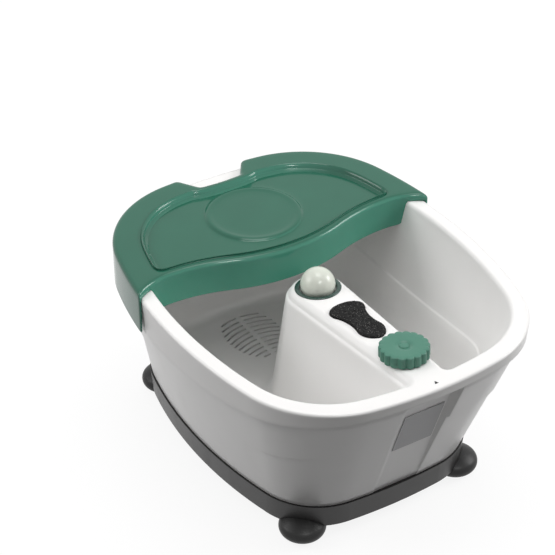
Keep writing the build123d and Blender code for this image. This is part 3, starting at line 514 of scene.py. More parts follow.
@dataclass
class Palette:
    """Every finish of the object."""

    make: Finishes

    @staticmethod
    def _paint_front_light(material: bpy.types.Material, colour: tuple) -> None:
        """Lightens the base colour of the faces that look forward: painted light, standing in for the light that
        the tinted plastic lets through.
        """
        nodes, links = material.node_tree.nodes, material.node_tree.links
        shader = nodes["Principled BSDF"]
        own = shader.inputs["Base Color"].links[0].from_socket
        shape, facing = nodes.new("ShaderNodeNewGeometry"), nodes.new("ShaderNodeVectorMath")
        facing.operation = "DOT_PRODUCT"
        facing.inputs[1].default_value = (0.0, -1.0, 0.0)
        # painted light mask: the share of the lighter green grows as the face turns forward
        part, mix = nodes.new("ShaderNodeMapRange"), nodes.new("ShaderNodeMix")
        part.inputs["From Min"].default_value = 0.35
        part.inputs["From Max"].default_value = 0.95
        mix.data_type = "RGBA"
        mix.inputs["B"].default_value = (*colour, 1)
        links.new(shape.outputs["Normal"], facing.inputs[0])
        links.new(facing.outputs["Value"], part.inputs["Value"])
        links.new(part.outputs[0], mix.inputs["Factor"])
        links.new(own, mix.inputs["A"])
        links.new(mix.outputs["Result"], shader.inputs["Base Color"])

    def __post_init__(self) -> None:
        """Builds the materials."""
        m = self.make.moulded
        self.white = m("white_plastic", (0.885, 0.875, 0.865), (0.86, 0.85, 0.84), 0.30, bump=0.006, marks=0.05)
        self.green = m("tinted_green", (0.020, 0.130, 0.082), (0.016, 0.110, 0.069), 0.13, spread=0.03, bump=0.006,
                       marks=0.05, specular=0.4)
        self.knob = m("knob_green", (0.060, 0.215, 0.150), (0.045, 0.175, 0.122), 0.34, bump=0.03)
        self.bezel = m("bezel_green", (0.018, 0.062, 0.046), (0.012, 0.042, 0.032), 0.25, coat=0.2)
        self.black = m("base_black", (0.016, 0.015, 0.015), (0.022, 0.021, 0.021), 0.36, grain=1600, bump=0.06)
        self.rubber = m("foot_rubber", (0.006, 0.006, 0.006), (0.012, 0.012, 0.012), 0.42, grain=1200, bump=0.12, specular=0.35)
        self.pearl = m("ball_pearl", (0.72, 0.74, 0.66), (0.62, 0.66, 0.58), 0.30, coat=0.3, mottle=60)
        self.plate = m("plate_grey", (0.46, 0.46, 0.47), (0.42, 0.42, 0.43), 0.45, grain=2000, bump=0.04)
        self.inner = m("inner_white", (0.50, 0.50, 0.49), (0.45, 0.45, 0.44), 0.5)
        self.steel = m("steel", (0.55, 0.55, 0.57), (0.47, 0.47, 0.49), 0.32, metallic=1.0, grain=2500)
        self.alloy = m("heater_aluminium", (0.68, 0.68, 0.70), (0.60, 0.60, 0.62), 0.38, metallic=1.0)
        self.iron = m("weight_iron", (0.16, 0.16, 0.17), (0.10, 0.10, 0.11), 0.6, metallic=1.0, bump=0.3)
        self.dark = m("switch_black", (0.035, 0.035, 0.037), (0.05, 0.05, 0.052), 0.45)
        self.pump = m("pump_grey", (0.20, 0.21, 0.23), (0.16, 0.17, 0.19), 0.5, bump=0.1)
        self.hose = m("hose_clear", (0.55, 0.58, 0.55), (0.48, 0.52, 0.49), 0.25, coat=0.2)
        self.fuse = m("fuse_body", (0.42, 0.26, 0.14), (0.34, 0.20, 0.10), 0.55)
        self.pumice = self._pumice()
        # painted light: the cover's forward-facing faces get this lighter green in their base colour
        self._paint_front_light(self.green, (0.064, 0.285, 0.200))

    def _pumice(self) -> bpy.types.Material:
        """Black stone with open pores and pale specks."""
        material = self.make.moulded("pumice_black", (0.008, 0.008, 0.008), (0.020, 0.019, 0.018), 0.8,
                                     grain=900, bump=0.5, mottle=500, spread=0.3, specular=0.25)
        nodes, links = material.node_tree.nodes, material.node_tree.links
        shader = nodes["Principled BSDF"]
        where = nodes.new("ShaderNodeTexCoord")
        specks = nodes.new("ShaderNodeTexVoronoi")
        specks.inputs["Scale"].default_value = 650.0
        ramp = nodes.new("ShaderNodeValToRGB")
        ramp.color_ramp.elements[0].position = 0.05
        ramp.color_ramp.elements[0].color = (0.42, 0.40, 0.38, 1)
        ramp.color_ramp.elements[1].position = 0.20
        ramp.color_ramp.elements[1].color = (0.008, 0.008, 0.008, 1)
        links.new(where.outputs["Object"], specks.inputs["Vector"])
        links.new(specks.outputs["Distance"], ramp.inputs["Fac"])
        links.new(ramp.outputs["Color"], shader.inputs["Base Color"])
        return material


# ---------------------------------------------------------------- sub-assemblies


@dataclass(frozen=True)
class Form:
    """Outlines and heights that several sub-assemblies share, in millimetres."""

    rim: Oval = Oval(157.0, -1.1, 471.0, 195.1, 390.0, 97.0, 192.9, 509.0, 104.0)
    base: Oval = Oval(122.7, 25.0, 430.0, 140.1, 511.0, 67.0, 166.0, 410.0, 61.0)
    rim_z: float = 188.5
    floor_z: float = 47.0
    base_top_z: float = 38.8
    side_width: float = 15.0
    front_width: float = 17.0
    floor_inset: float = 7.2
    band_draft: float = 0.06
    band_drops: tuple = (38.0, 26.5, 10.5)
    band_level_y: float = 20.0
    wall: float = 2.5
    body_gap: float = 0.5

    def bowed_line(self, y: np.ndarray, heights: tuple, level_y: float, bow: float = 12.0) -> np.ndarray:
        """Height of a line on the side: level behind level_y, then a parabola through three heights."""
        t = np.clip(level_y - y, 0, None)
        mid_t = level_y - ((level_y - self.rim.front) / 2 - bow)
        end_t = level_y + self.rim.front
        rise_mid, rise_end = heights[1] - heights[0], heights[2] - heights[0]
        curve = (rise_end / end_t - rise_mid / mid_t) / (end_t - mid_t)
        return heights[0] + t * (rise_mid / mid_t + curve * (t - mid_t))

    def band_low(self, y: np.ndarray) -> np.ndarray:
        """Height of the band's lower edge."""
        return self.bowed_line(y, tuple(self.rim_z - d for d in self.band_drops), self.band_level_y)


@dataclass(frozen=True)
class Console:
    """The console between the foot wells, whose sloping top the ball, stone and knob stand on."""

    form: Form
    slope: float = 0.084
    ball_y: float = -4.5
    height: float = 174.5
    foot_r: float = 41.0
    top_r: float = 28.0
    foot_half: float = 36.0
    top_half: float = 21.0
    foot_y: float = 0.5
    front_y: float = -200.0
    blend: float = 0.8

    def place(self, y: float, z: float = 0.0) -> Matrix:
        """The matrix of axes on the sloping top, at a distance along it and a height over it, in mm."""
        up = Vector((0, self.slope, 1)).normalized()
        right = Vector((1, 0, 0))
        back = up.cross(right)
        axes = Matrix((right, back, up)).transposed().to_4x4()
        spot = Vector((0, self.ball_y, self.height)) + back * y + up * z
        return Matrix.Translation(spot * MM) @ axes

    def top(self, x: np.ndarray, y: np.ndarray) -> np.ndarray:
        """Height of the rim and the console's top: the lower of the two, blended where they meet.

        Beside and behind the console, the rim is level.
        """
        slanted = self.height - self.slope * (y - self.ball_y)
        level = np.full_like(slanted, self.form.rim_z)
        away = np.maximum(smooth_step((np.abs(x) - self.top_r) / 26.0), smooth_step((y - 40.0) / 40.0))
        slanted = slanted + np.clip(level - slanted, 0, None) * away
        near = np.clip(self.blend - np.abs(slanted - level), 0, None) / self.blend
        return np.minimum(slanted, level) - near**2 * self.blend / 4

    def section(self, z: float) -> tuple[float, float, float]:
        """Nose radius, half width at the front and nose place of the console at a height."""
        t = (z - self.form.floor_z) / (self.height - self.form.floor_z)
        return (self.foot_r + (self.top_r - self.foot_r) * t,
                self.foot_half + (self.top_half - self.foot_half) * t,
                self.foot_y + (self.ball_y - self.foot_y) * t)

    def flat(self, loop: np.ndarray, z: float = 0.0) -> np.ndarray:
        """A loop drawn on the sloping top, in plan."""
        scale = 1 / hypot(1, self.slope)
        return np.stack([loop[:, 0], self.ball_y + (loop[:, 1] + self.slope * z) * scale], -1)


@dataclass
class TubShell:
    """Basin: foot wells with the console between them, rim and turned-down band, in one thin shell."""

    form: Form
    console: Console
    skin: float = 2.0
    floor_round: float = 11.0
    fillet_low: float = 24.0
    fillet_high: float = 6.0
    ledge_z: float = 105.0
    ledge_bow: float = 12.0
    ledge_reach: float = 110.0
    ledge_step: float = 1.2
    edge_round: float = 2.5
    counts: tuple = (22, 26, 22, 120)
    rim_edge: tuple = ((0, 14), (0, 10), (0, 7), (0, 5.5), (0, 4.5), (0, 3.2), (0.15, 2.2), (0.45, 1.3),
                       (0.9, 0.65), (1.5, 0.25), (2.2, 0.05), (2.8, 0))
    shoulder: tuple = ((0, 13), (0, 10.2), (0.5, 8.6), (1.5, 7.7), (1.95, 7.2), (2.2, 6.2), (2.7, 4.2),
                       (3.7, 2.4), (5.0, 1.15), (6.5, 0.4), (7.6, 0.08), (8.4, 0))
    outline_count: int = 420
    slot_pitch: float = 6.8
    slot_width: float = 2.3
    slot_arc: float = 56.0
    slot_count: int = 12
    grille_y: float = 112.0
    grille_half: tuple = (29.0, 42.0)
    grille_bar: float = 4.4

    def _half_well(self, oval: Oval, z: float, fillet: float) -> np.ndarray:
        """Right half of the wells' outline: nose, console side, fillet into the wall, and the wall.

        The fillet's centre lies where the console's side moved out by its radius meets the wall's
        outline moved in by the same radius.
        """
        nose_r, front_half, nose_y = self.console.section(z)
        turn = atan2(nose_r - front_half, nose_y - self.console.front_y)
        side = np.array([nose_r * cos(turn), nose_y + nose_r * sin(turn)])
        run = np.array([front_half, self.console.front_y]) - side
        run /= np.hypot(*run)
        aside = np.array([-run[1], run[0]])
        wall, normals = oval.half()
        moved = oval.grown(-fillet).half()[0]
        gap = (moved - side) @ aside - fillet
        k = int(np.argmax(gap > 0))
        part = -gap[k - 1] / (gap[k] - gap[k - 1])
        centre = moved[k - 1] + (moved[k] - moved[k - 1]) * part
        reach = normals[k - 1] + (normals[k] - normals[k - 1]) * part
        touch = centre - aside * fillet
        start = np.degrees(np.arctan2(-aside[1], -aside[0])) % 360
        end = np.degrees(np.arctan2(reach[1], reach[0])) % 360
        n_nose, n_side, n_fillet, n_wall = self.counts
        nose = arc((0, nose_y), nose_r, 90, np.degrees(turn), n_nose)
        share = np.linspace(0, 1, n_side)[1:, None]
        curve = arc(tuple(centre), fillet, start, end, n_fillet)[1:]
        rest = np.vstack([curve[-1:], wall[k:]])
        return np.vstack([nose, side + (touch - side) * share, curve, evenly(rest, n_wall, False)[1:]])

    def _slots(self) -> list[np.ndarray]:
        """Outlines of the grille's slots: bowed bars with round ends, clipped to an ellipse."""
        made = []
        half_x, half_y = self.grille_half
        radius = self.slot_width / 2
        x = np.linspace(self.grille_bar / 2 + radius, half_x - radius, 200)
        for i in range(self.slot_count):
            centre_y = self.grille_y + (i - (self.slot_count - 1) / 2) * self.slot_pitch - self.slot_arc
            y = centre_y + np.sqrt(self.slot_arc**2 - x**2)
            fits = (x / (half_x - radius)) ** 2 + ((y - self.grille_y) / (half_y - radius)) ** 2 < 1
            if fits.sum() < 12:
                continue
            first, last = x[fits][0], x[fits][-1]
            a, b = (np.degrees(np.arccos(v / self.slot_arc)) for v in (first, last))
            tip_b = (self.slot_arc * np.cos(np.radians(b)), centre_y + self.slot_arc * np.sin(np.radians(b)))
            tip_a = (self.slot_arc * np.cos(np.radians(a)), centre_y + self.slot_arc * np.sin(np.radians(a)))
            loop = np.vstack([arc((0, centre_y), self.slot_arc + radius, b, a, 9),
                              arc(tip_a, radius, a, a + 180, 5)[1:-1],
                              arc((0, centre_y), self.slot_arc - radius, a, b, 9),
                              arc(tip_b, radius, b + 180, b + 360, 5)[1:-1]])
            made += [loop, loop * np.array([-1, 1])]
        return made

    def build(self, palette: Palette, holes: list[np.ndarray]) -> None:
        """Lays the wells, the top, the band and the floor, and welds them.

        Args:
            palette: The finishes.
            holes: Loops in plan that the console's top is open inside.
        """
        form, console = self.form, self.console
        floor_oval = form.base.grown(-form.floor_inset)
        rim_oval = form.rim.grown(-form.side_width, -form.front_width)
        low = both_halves(self._half_well(floor_oval, form.floor_z, self.fillet_low))
        high = both_halves(self._half_well(rim_oval, form.rim_z, self.fillet_high))
        out = outward((low + high) / 2)
        n_nose, n_side, n_fillet, n_wall = self.counts
        fade = np.concatenate([np.ones(n_nose + n_side - 1), 1 - smooth_step(np.linspace(0, 1, n_fillet)[1:]),
                               np.zeros(n_wall - 1)])
        hump = np.concatenate([fade, fade[-2:0:-1]])
        edge = (np.array(self.rim_edge)[:, None] * (1 - hump)[:, None]
                + np.array(self.shoulder)[:, None] * hump[:, None])
        inset, drop = edge[..., 0], edge[..., 1]
        span = form.rim_z - form.floor_z
        near_top = high + out * inset[-1:].T
        top = console.top(near_top[:, 0], near_top[:, 1])
        ledge = np.minimum(self.ledge_z + self.ledge_bow * (high[:, 1] / self.ledge_reach) ** 2, 124.0)
        step = self.ledge_step * (1 - hump)
        angle = np.linspace(0, pi / 2, 9)[:, None]
        rows_z = [form.floor_z + self.floor_round * (1 - np.cos(angle)) + 0 * step]
        rows_e = [self.floor_round * (1 - np.sin(angle)) + step]
        above = form.floor_z + self.floor_round
        share = np.linspace(0, 1, 6)[1:, None]
        rows_z.append(above + (ledge - 1.5 - above) * share)
        rows_e.append(step + 0 * share)
        share = np.linspace(0, 1, 6)[1:, None]
        rows_z.append(ledge - 1.5 + 3.0 * share)
        rows_e.append(step * (1 - smooth_step(share)))
        share = np.linspace(0, 1, 9)[1:, None]
        rows_z.append(ledge + 1.5 + (top - 14 - ledge - 1.5) * share)
        rows_e.append(0 * step + 0 * share)
        rows_z.append(top - drop)
        rows_e.append(-inset)
        z, e = np.vstack(rows_z), np.vstack(rows_e)
        t = ((z - form.floor_z) / span)[..., None]
        plan = low + (high - low) * t - out * e[..., None]
        skin = Skin()
        skin.grid(np.concatenate([plan, z[..., None]], -1), flip=True)
        skin.fill([plan[0], *self._slots()], 12.0, lambda x, y: np.full_like(x, form.floor_z))
        outline = form.rim.loop(self.outline_count)
        normal = outward(outline)
        skin.fill([outline - normal * self.edge_round, plan[-1], *holes], 3.5, console.top)
        skin.grid(self._band(outline, normal), flip=True)
        settle(skin.build("tub_shell", palette.white, wall=self.skin), Body.HOUSING, "tub_white", "basin")

    def _band(self, outline: np.ndarray, normal: np.ndarray) -> np.ndarray:
        """Rows of the rim's outer round and of the band down to its lower edge."""
        form = self.form
        angle = np.linspace(0, pi / 2, 7)
        low = form.band_low(outline[:, 1])
        offsets = [np.full(len(outline), self.edge_round * (np.sin(a) - 1)) for a in angle]
        heights = [np.full(len(outline), form.rim_z - self.edge_round * (1 - np.cos(a))) for a in angle]
        start = heights[-1]
        for share in np.linspace(0, 1, 6)[1:]:
            z = start + (low + 0.9 - start) * share
            heights.append(z)
            offsets.append(-(form.rim_z - z) * form.band_draft)
        for turn_in, down in ((0.25, 0.25), (0.9, 0.0)):
            heights.append(low + down)
            offsets.append(-(form.rim_z - low) * form.band_draft - turn_in)
        rows = [np.column_stack([outline + normal * o[:, None], z]) for o, z in zip(offsets, heights)]
        return np.array(rows)


@dataclass
class WellNubs:
    """Rounded massage nubs on the floors of the foot wells, in staggered rows."""

    form: Form
    radius: float = 2.4
    height: float = 1.5
    pitch: tuple = (9.0, 8.0)
    field_x: tuple = (50.0, 92.0)
    field_y: tuple = (-92.0, 76.0)
    bow: float = 0.0009

    def build(self, palette: Palette) -> None:
        """Repeats one small dome: r cos(a), r sin(a) and h times sqrt(1 - r^2) over a lattice."""
        dx, dy = self.pitch
        ring = np.linspace(0, 2 * pi, 12, endpoint=False)
        dome = [np.column_stack([self.radius * cos(a) * np.cos(ring), self.radius * cos(a) * np.sin(ring),
                                 np.full(12, self.height * sin(a) - 0.3)]) for a in np.linspace(0, 1.45, 5)]
        dome.append(np.column_stack([0 * ring, 0 * ring, np.full(12, self.height - 0.3)]))
        cap = np.array(dome)
        skin = Skin()
        for row, y in enumerate(np.arange(self.field_y[0], self.field_y[1], dy)):
            inner, outer = self.field_x
            limit = outer - self.bow * (y - 10) ** 2
            for x in np.arange(inner + (row % 2) * dx / 2, limit, dx):
                for side in (-1, 1):
                    skin.grid(cap + np.array([side * x, y, self.form.floor_z + 0.3]), flip=False)
        settle(skin.build("well_nubs", palette.white), Body.HOUSING, "tub_white")


@dataclass
class BodyShell:
    """Outer wall between the band and the base, stepped, with the pocket for the plate at its front."""

    form: Form
    step: float = 1.8
    step_heights: tuple = (99.5, 114.0, 139.0)
    step_level_y: float = -35.0
    step_soft: float = 1.2
    top_drop: float = 16.5
    pocket_x: float = -1.0
    pocket_half: float = 23.0
    pocket_depth: float = 8.0
    pocket_low_depth: float = 3.0
    skin: float = 2.0
    bevel: float = 0.45
    columns: int = 380

    def _outline(self, z: float) -> np.ndarray:
        """Right half of the wall's outline at a height: the base's oval moved towards the top's."""
        form = self.form
        back = (form.band_drops[0] * form.band_draft + form.wall + form.body_gap)
        top = form.rim.grown(-back)
        top_z = form.rim_z - self.top_drop
        t = (z - form.base_top_z) / (top_z - form.base_top_z)
        return form.base.toward(top, min(t, 1.0)).half()[0]

    def _pocket_y(self, z: float) -> float:
        """Place of the pocket's floor at a height: a plane that leans less than the wall."""
        form = self.form
        back = (form.band_drops[0] * form.band_draft + form.wall + form.body_gap)
        top_z = form.rim_z - self.top_drop
        low = -form.base.front + self.pocket_low_depth
        high = -form.rim.front + back + self.pocket_depth
        return low + (high - low) * (z - form.base_top_z) / (top_z - form.base_top_z)

    def build(self, palette: Palette) -> None:
        """Lays rows of the wall, each a closed outline whose front columns follow the pocket."""
        form = self.form
        low, high = form.base_top_z + 0.3, form.rim_z - 5.0
        levels = np.linspace(low, high, 60)
        outlines = np.array([both_halves(self._outline(z)) for z in levels])
        shares = np.concatenate([np.linspace(0, 0.45, 14)[:-1], np.linspace(0.45, 0.55, 9)[:-1],
                                 np.linspace(0.55, 1, 12)])
        count = outlines.shape[1]
        rows = []
        for share in shares:
            z = np.full(count, low + (high - low) * share)
            for _ in range(3):
                y = self._on_wall(outlines, levels, z)[:, 1]
                z = self._height(share, y, low, high)
            rows.append(self._pocketed(outlines, levels, z))
        skin = Skin()
        skin.grid(np.array(rows), flip=False)
        piece = skin.build("body_shell", palette.white, wall=self.skin, bevel=self.bevel, sharp=30.0)
        settle(piece, Body.HOUSING, "body_white", "outer_body")

    def _height(self, share: float, y: np.ndarray, low: float, high: float) -> np.ndarray:
        """Height of a row at places y: even below and above the step line, crowded across it."""
        line = self.form.bowed_line(y, self.step_heights, self.step_level_y)
        a, b, half = 0.45, 0.55, 2.0
        if share < a:
            return low + (line - half - low) * share / a
        if share < b:
            return line - half + 2 * half * (share - a) / (b - a)
        return line + half + (high - line - half) * (share - b) / (1 - b)

    @staticmethod
    def _on_wall(outlines: np.ndarray, levels: np.ndarray, z: np.ndarray) -> np.ndarray:
        """Points of the wall at a height for each column: linear between the outlines above and below."""
        place = np.clip((z - levels[0]) / (levels[1] - levels[0]), 0, len(levels) - 1.001)
        k = place.astype(int)
        t = (place - k)[:, None]
        column = np.arange(outlines.shape[1])
        return outlines[k, column] * (1 - t) + outlines[k + 1, column] * t

    def _pocketed(self, outlines: np.ndarray, levels: np.ndarray, z: np.ndarray) -> np.ndarray:
        """A row of points with the step, thinned to the wanted columns, and sunk to the pocket's floor."""
        plan = self._on_wall(outlines, levels, z)
        line = self.form.bowed_line(plan[:, 1], self.step_heights, self.step_level_y)
        proud = smooth_step((z - line) / self.step_soft + 0.5)
        plan = plan - outward(plan) * (self.step * (1 - proud))[:, None]
        points = np.column_stack([plan, z])
        right = points[points[:, 1] < 0]
        order = np.argsort(right[:, 0])
        front = right[order]
        near = np.abs(front[:, 0]) < 60
        fx, fy, fz = front[near].T
        edge_l, edge_r = (self._pocket_edge(side, fx, fy, fz) for side in (-1, 1))
        inner_l, inner_r = self.pocket_x - self.pocket_half, self.pocket_x + self.pocket_half
        x = np.concatenate([np.linspace(edge_l, inner_l, 5)[:-1], np.linspace(inner_l, inner_r, 17),
                            np.linspace(inner_r, edge_r, 5)[1:]])
        heights = np.interp(x, fx, fz)
        surface = np.interp(x, fx, fy)
        floor = np.array([self._pocket_y(h) for h in heights])
        slant = np.clip(np.abs(x - self.pocket_x) - self.pocket_half, 0, None)
        sunk = np.maximum(surface, floor - slant)
        pocket = np.column_stack([x, sunk, heights])
        ring = np.vstack([points[:, :2], points[:1, :2]])
        run = np.concatenate([[0], np.cumsum(np.hypot(*np.diff(ring, axis=0).T))])
        quarter = run[:-1] < run[-1] / 4
        start = np.interp(edge_r, points[quarter][:, 0], run[:-1][quarter])
        back_quarter = run[:-1] > run[-1] * 3 / 4
        end = np.interp(edge_l, points[back_quarter][:, 0], run[:-1][back_quarter])
        spots = np.linspace(start, end, self.columns)[1:-1]
        closed = np.vstack([points, points[:1]])
        rest = np.stack([np.interp(spots, run, closed[:, k]) for k in range(3)], -1)
        return np.vstack([pocket, rest])

    def _pocket_edge(self, side: int, fx: np.ndarray, fy: np.ndarray, fz: np.ndarray) -> float:
        """Where the pocket's 45 degree side comes out of the wall, left (-1) or right (1)."""
        x = self.pocket_x + side * (self.pocket_half + self.pocket_depth / 2)
        for _ in range(12):
            surface, height = np.interp(x, fx, fy), np.interp(x, fx, fz)
            deep = max(self._pocket_y(height) - surface, 0.4)
            x = self.pocket_x + side * (self.pocket_half + deep)
        return x


@dataclass
class CoverShell:
    """Green splash cover: flange, sunken tray with a round rest, outer skirt and wavy inner apron."""

    form: Form
    gap: float = 0.4
    wall: float = 2.0
    rise: float = 7.5
    skirt_drop: float = 34.5
    apron_drop: float = 25.5
    apron_end: float = 139.0
    wave_y: float = 36.0
    wave_r: float = 169.0
    wave_half: float = 60.0
    side_r: float = 165.0
    end_r: float = 58.6
    end_x: float = 156.5
    tray_inset: float = 25.0
    tray_front: float = 8.0
    tray_notch: float = 9.0
    tray_depth: float = 5.0
    disc_y: float = 109.0
    disc_r: float = 46.0
    notch_y: float = 172.4
    notch_inner: float = 22.0
    notch_outer: float = 35.0
    notch_bow: float = 1.5
    top_edge: tuple = ((-4.6, 0), (-3.6, 0.08), (-2.5, 0.35), (-1.5, 0.95), (-0.7, 1.8), (-0.2, 2.9), (0, 4.2))
    tray_edge: tuple = ((2.2, 0), (1.3, 0.12), (0.5, 0.55), (0.0, 1.3), (-0.4, 2.4), (-0.8, 3.4), (-1.4, 4.2),
                        (-2.3, 4.75), (-3.6, 5.0))
    disc_edge: tuple = ((48.2, 0), (47.2, 0.15), (46.3, 0.65), (45.4, 1.4), (44.4, 1.85), (43.0, 2.0),
                        (41.4, 1.85), (39.6, 1.5), (37.0, 1.3), (30.0, 1.25), (15.0, 1.25))
    counts: tuple = (150, 215, 23, 21)

    def _wave(self, x: np.ndarray, back: float) -> np.ndarray:
        """Front edge as y over x: an arc that bulges forward, two that bulge back, and falling ends."""
        lean = self.wave_half / self.wave_r
        down = sqrt(1 - lean * lean)
        top_y = self.wave_y + self.wave_r
        side_x = self.wave_half + self.side_r * lean
        side_y = top_y - (self.wave_r + self.side_r) * down
        end_y = side_y + self.side_r - self.end_r
        a = np.abs(x)
        middle = top_y - np.sqrt(np.clip((self.wave_r - back) ** 2 - a**2, 1, None))
        side = side_y + np.sqrt(np.clip((self.side_r + back) ** 2 - (a - side_x) ** 2, 1, None))
        end = end_y + np.sqrt(np.clip((self.end_r + back) ** 2 - (a - side_x) ** 2, 1, None))
        join = (self.wave_r - back) * lean
        return np.where(a < join, middle, np.where(a < side_x, side, end))

    def _loop(self, inset: float, wave_in: float, notch_out: float, soft: float) -> np.ndarray:
        """An outline of the cover in plan, anticlockwise from the wave's middle.

        Args:
            inset: How far inside the rim's outline it lies (negative for outside).
            wave_in: How far behind the wave it lies.
            notch_out: How far outside the notch it lies.
            soft: Window that rounds its corners.
        """
        half = self.form.rim.grown(-inset).half()[0]
        back_y = self.form.rim.back
        flare = (self.notch_outer - self.notch_inner) / (back_y - self.notch_y)
        notch_low = self.notch_y - notch_out
        notch_in = self.notch_inner + notch_out
        keep = (half[:, 1] > self._wave(half[:, 0], wave_in)) & (half[:, 1] > 0)
        keep &= ~((half[:, 1] > notch_low) & (half[:, 0] < notch_in + flare * (half[:, 1] - notch_low)))
        side = half[keep]
        wave_x = np.linspace(0, side[0, 0], 300)
        front = np.column_stack([wave_x, self._wave(wave_x, wave_in)])
        n_front, n_side, n_end, n_rear = self.counts
        parts = [evenly(front, n_front, False), evenly(side, n_side, False)[1:]]
        if half[:, 1].max() > notch_low:
            rear = arc_through((notch_in, notch_low), (0, notch_low - self.notch_bow), (-notch_in, notch_low), 41)
            parts += [evenly(np.array([side[-1], rear[0]]), n_end, False)[1:], evenly(rear[:21], n_rear, False)[1:]]
        else:
            middle = np.array([0.0, half[-1, 1]])
            parts += [evenly(np.array([side[-1], middle]), n_end + n_rear - 1, False)[1:]]
        return softened(both_halves(np.vstack(parts)), soft)

    def _low_edge(self, loop: np.ndarray) -> np.ndarray:
        """Height of the lower edge: skirt outside the rim, apron inside it, and just over the rim between."""
        form = self.form
        x, y = np.abs(loop[:, 0]), loop[:, 1]
        over = form.rim_z + 0.4
        apron = form.rim_z - self.apron_drop
        on_wave = y < self._wave(x, 4.0)
        reach = 10.0
        start = self.apron_end - reach
        turn = np.clip((x - start) / reach, 0, 1)
        apron_low = apron + reach * (1 - np.sqrt(1 - turn**2))
        notch = (x < self.notch_outer + 3) & (y > self.notch_y - 4) & (y < form.rim.back + 1.2)
        low = np.where(on_wave, np.where(x < start + reach, apron_low, over), form.rim_z - self.skirt_drop)
        on_rim = on_wave & (x >= start + reach) & (x < form.rim.half_width + 0.6)
        low = np.where(on_rim, over, low)
        outside = ~inside(form.rim.grown(self.gap - 0.3).loop(720), loop)
        low = np.where(outside, form.rim_z - self.skirt_drop, low)
        return np.where(notch & ~outside, over, low)

    def build(self, palette: Palette) -> None:
        """Lays the edge and skirt, the flange, the tray's edge and floor, and the round rest."""
        form = self.form
        top_z = form.rim_z + self.rise
        tray_z = top_z - self.tray_depth
        outer = self._loop(-self.gap - self.wall, 0.0, 0.0, 4.5)
        low = self._low_edge(outer)
        rows = []
        for o, d in self.top_edge:
            loop = self._loop(-self.gap - self.wall - o, -o, -o, 4.5)
            rows.append(np.column_stack([loop, np.full(len(loop), top_z - d)]))
        start = rows[-1][:, 2]
        for share in np.linspace(0, 1, 9)[1:]:
            rows.append(np.column_stack([outer, start + (np.minimum(low, start - 0.5) - start) * share]))
        skin = Skin()
        skin.grid(np.array(rows), flip=True)
        tray = self._loop(self.tray_inset, self.tray_front, self.tray_notch, 16.0)
        tray_out = outward(tray)
        edge = [np.column_stack([tray + tray_out * o, np.full(len(tray), top_z - d)]) for o, d in self.tray_edge]
        skin.grid(np.array(edge), flip=True)
        skin.fill([rows[0][:, :2], edge[0][:, :2]], 4.0, lambda x, y: np.full_like(x, top_z))
        turn = np.linspace(0, 2 * pi, 180, endpoint=False)
        disc = [np.column_stack([r * np.cos(turn), self.disc_y + r * np.sin(turn), np.full(180, tray_z + h)])
                for r, h in self.disc_edge]
        skin.fill([edge[-1][:, :2], disc[0][:, :2]], 5.0, lambda x, y: np.full_like(x, tray_z))
        skin.grid(np.array(disc), flip=False)
        skin.fill([disc[-1][:, :2]], 4.0, lambda x, y: np.full_like(x, disc[-1][0, 2]))
        piece = skin.build("cover_shell", palette.green, wall=self.wall)
        settle(piece, Body.COVER, "cover_green", "splash_cover")


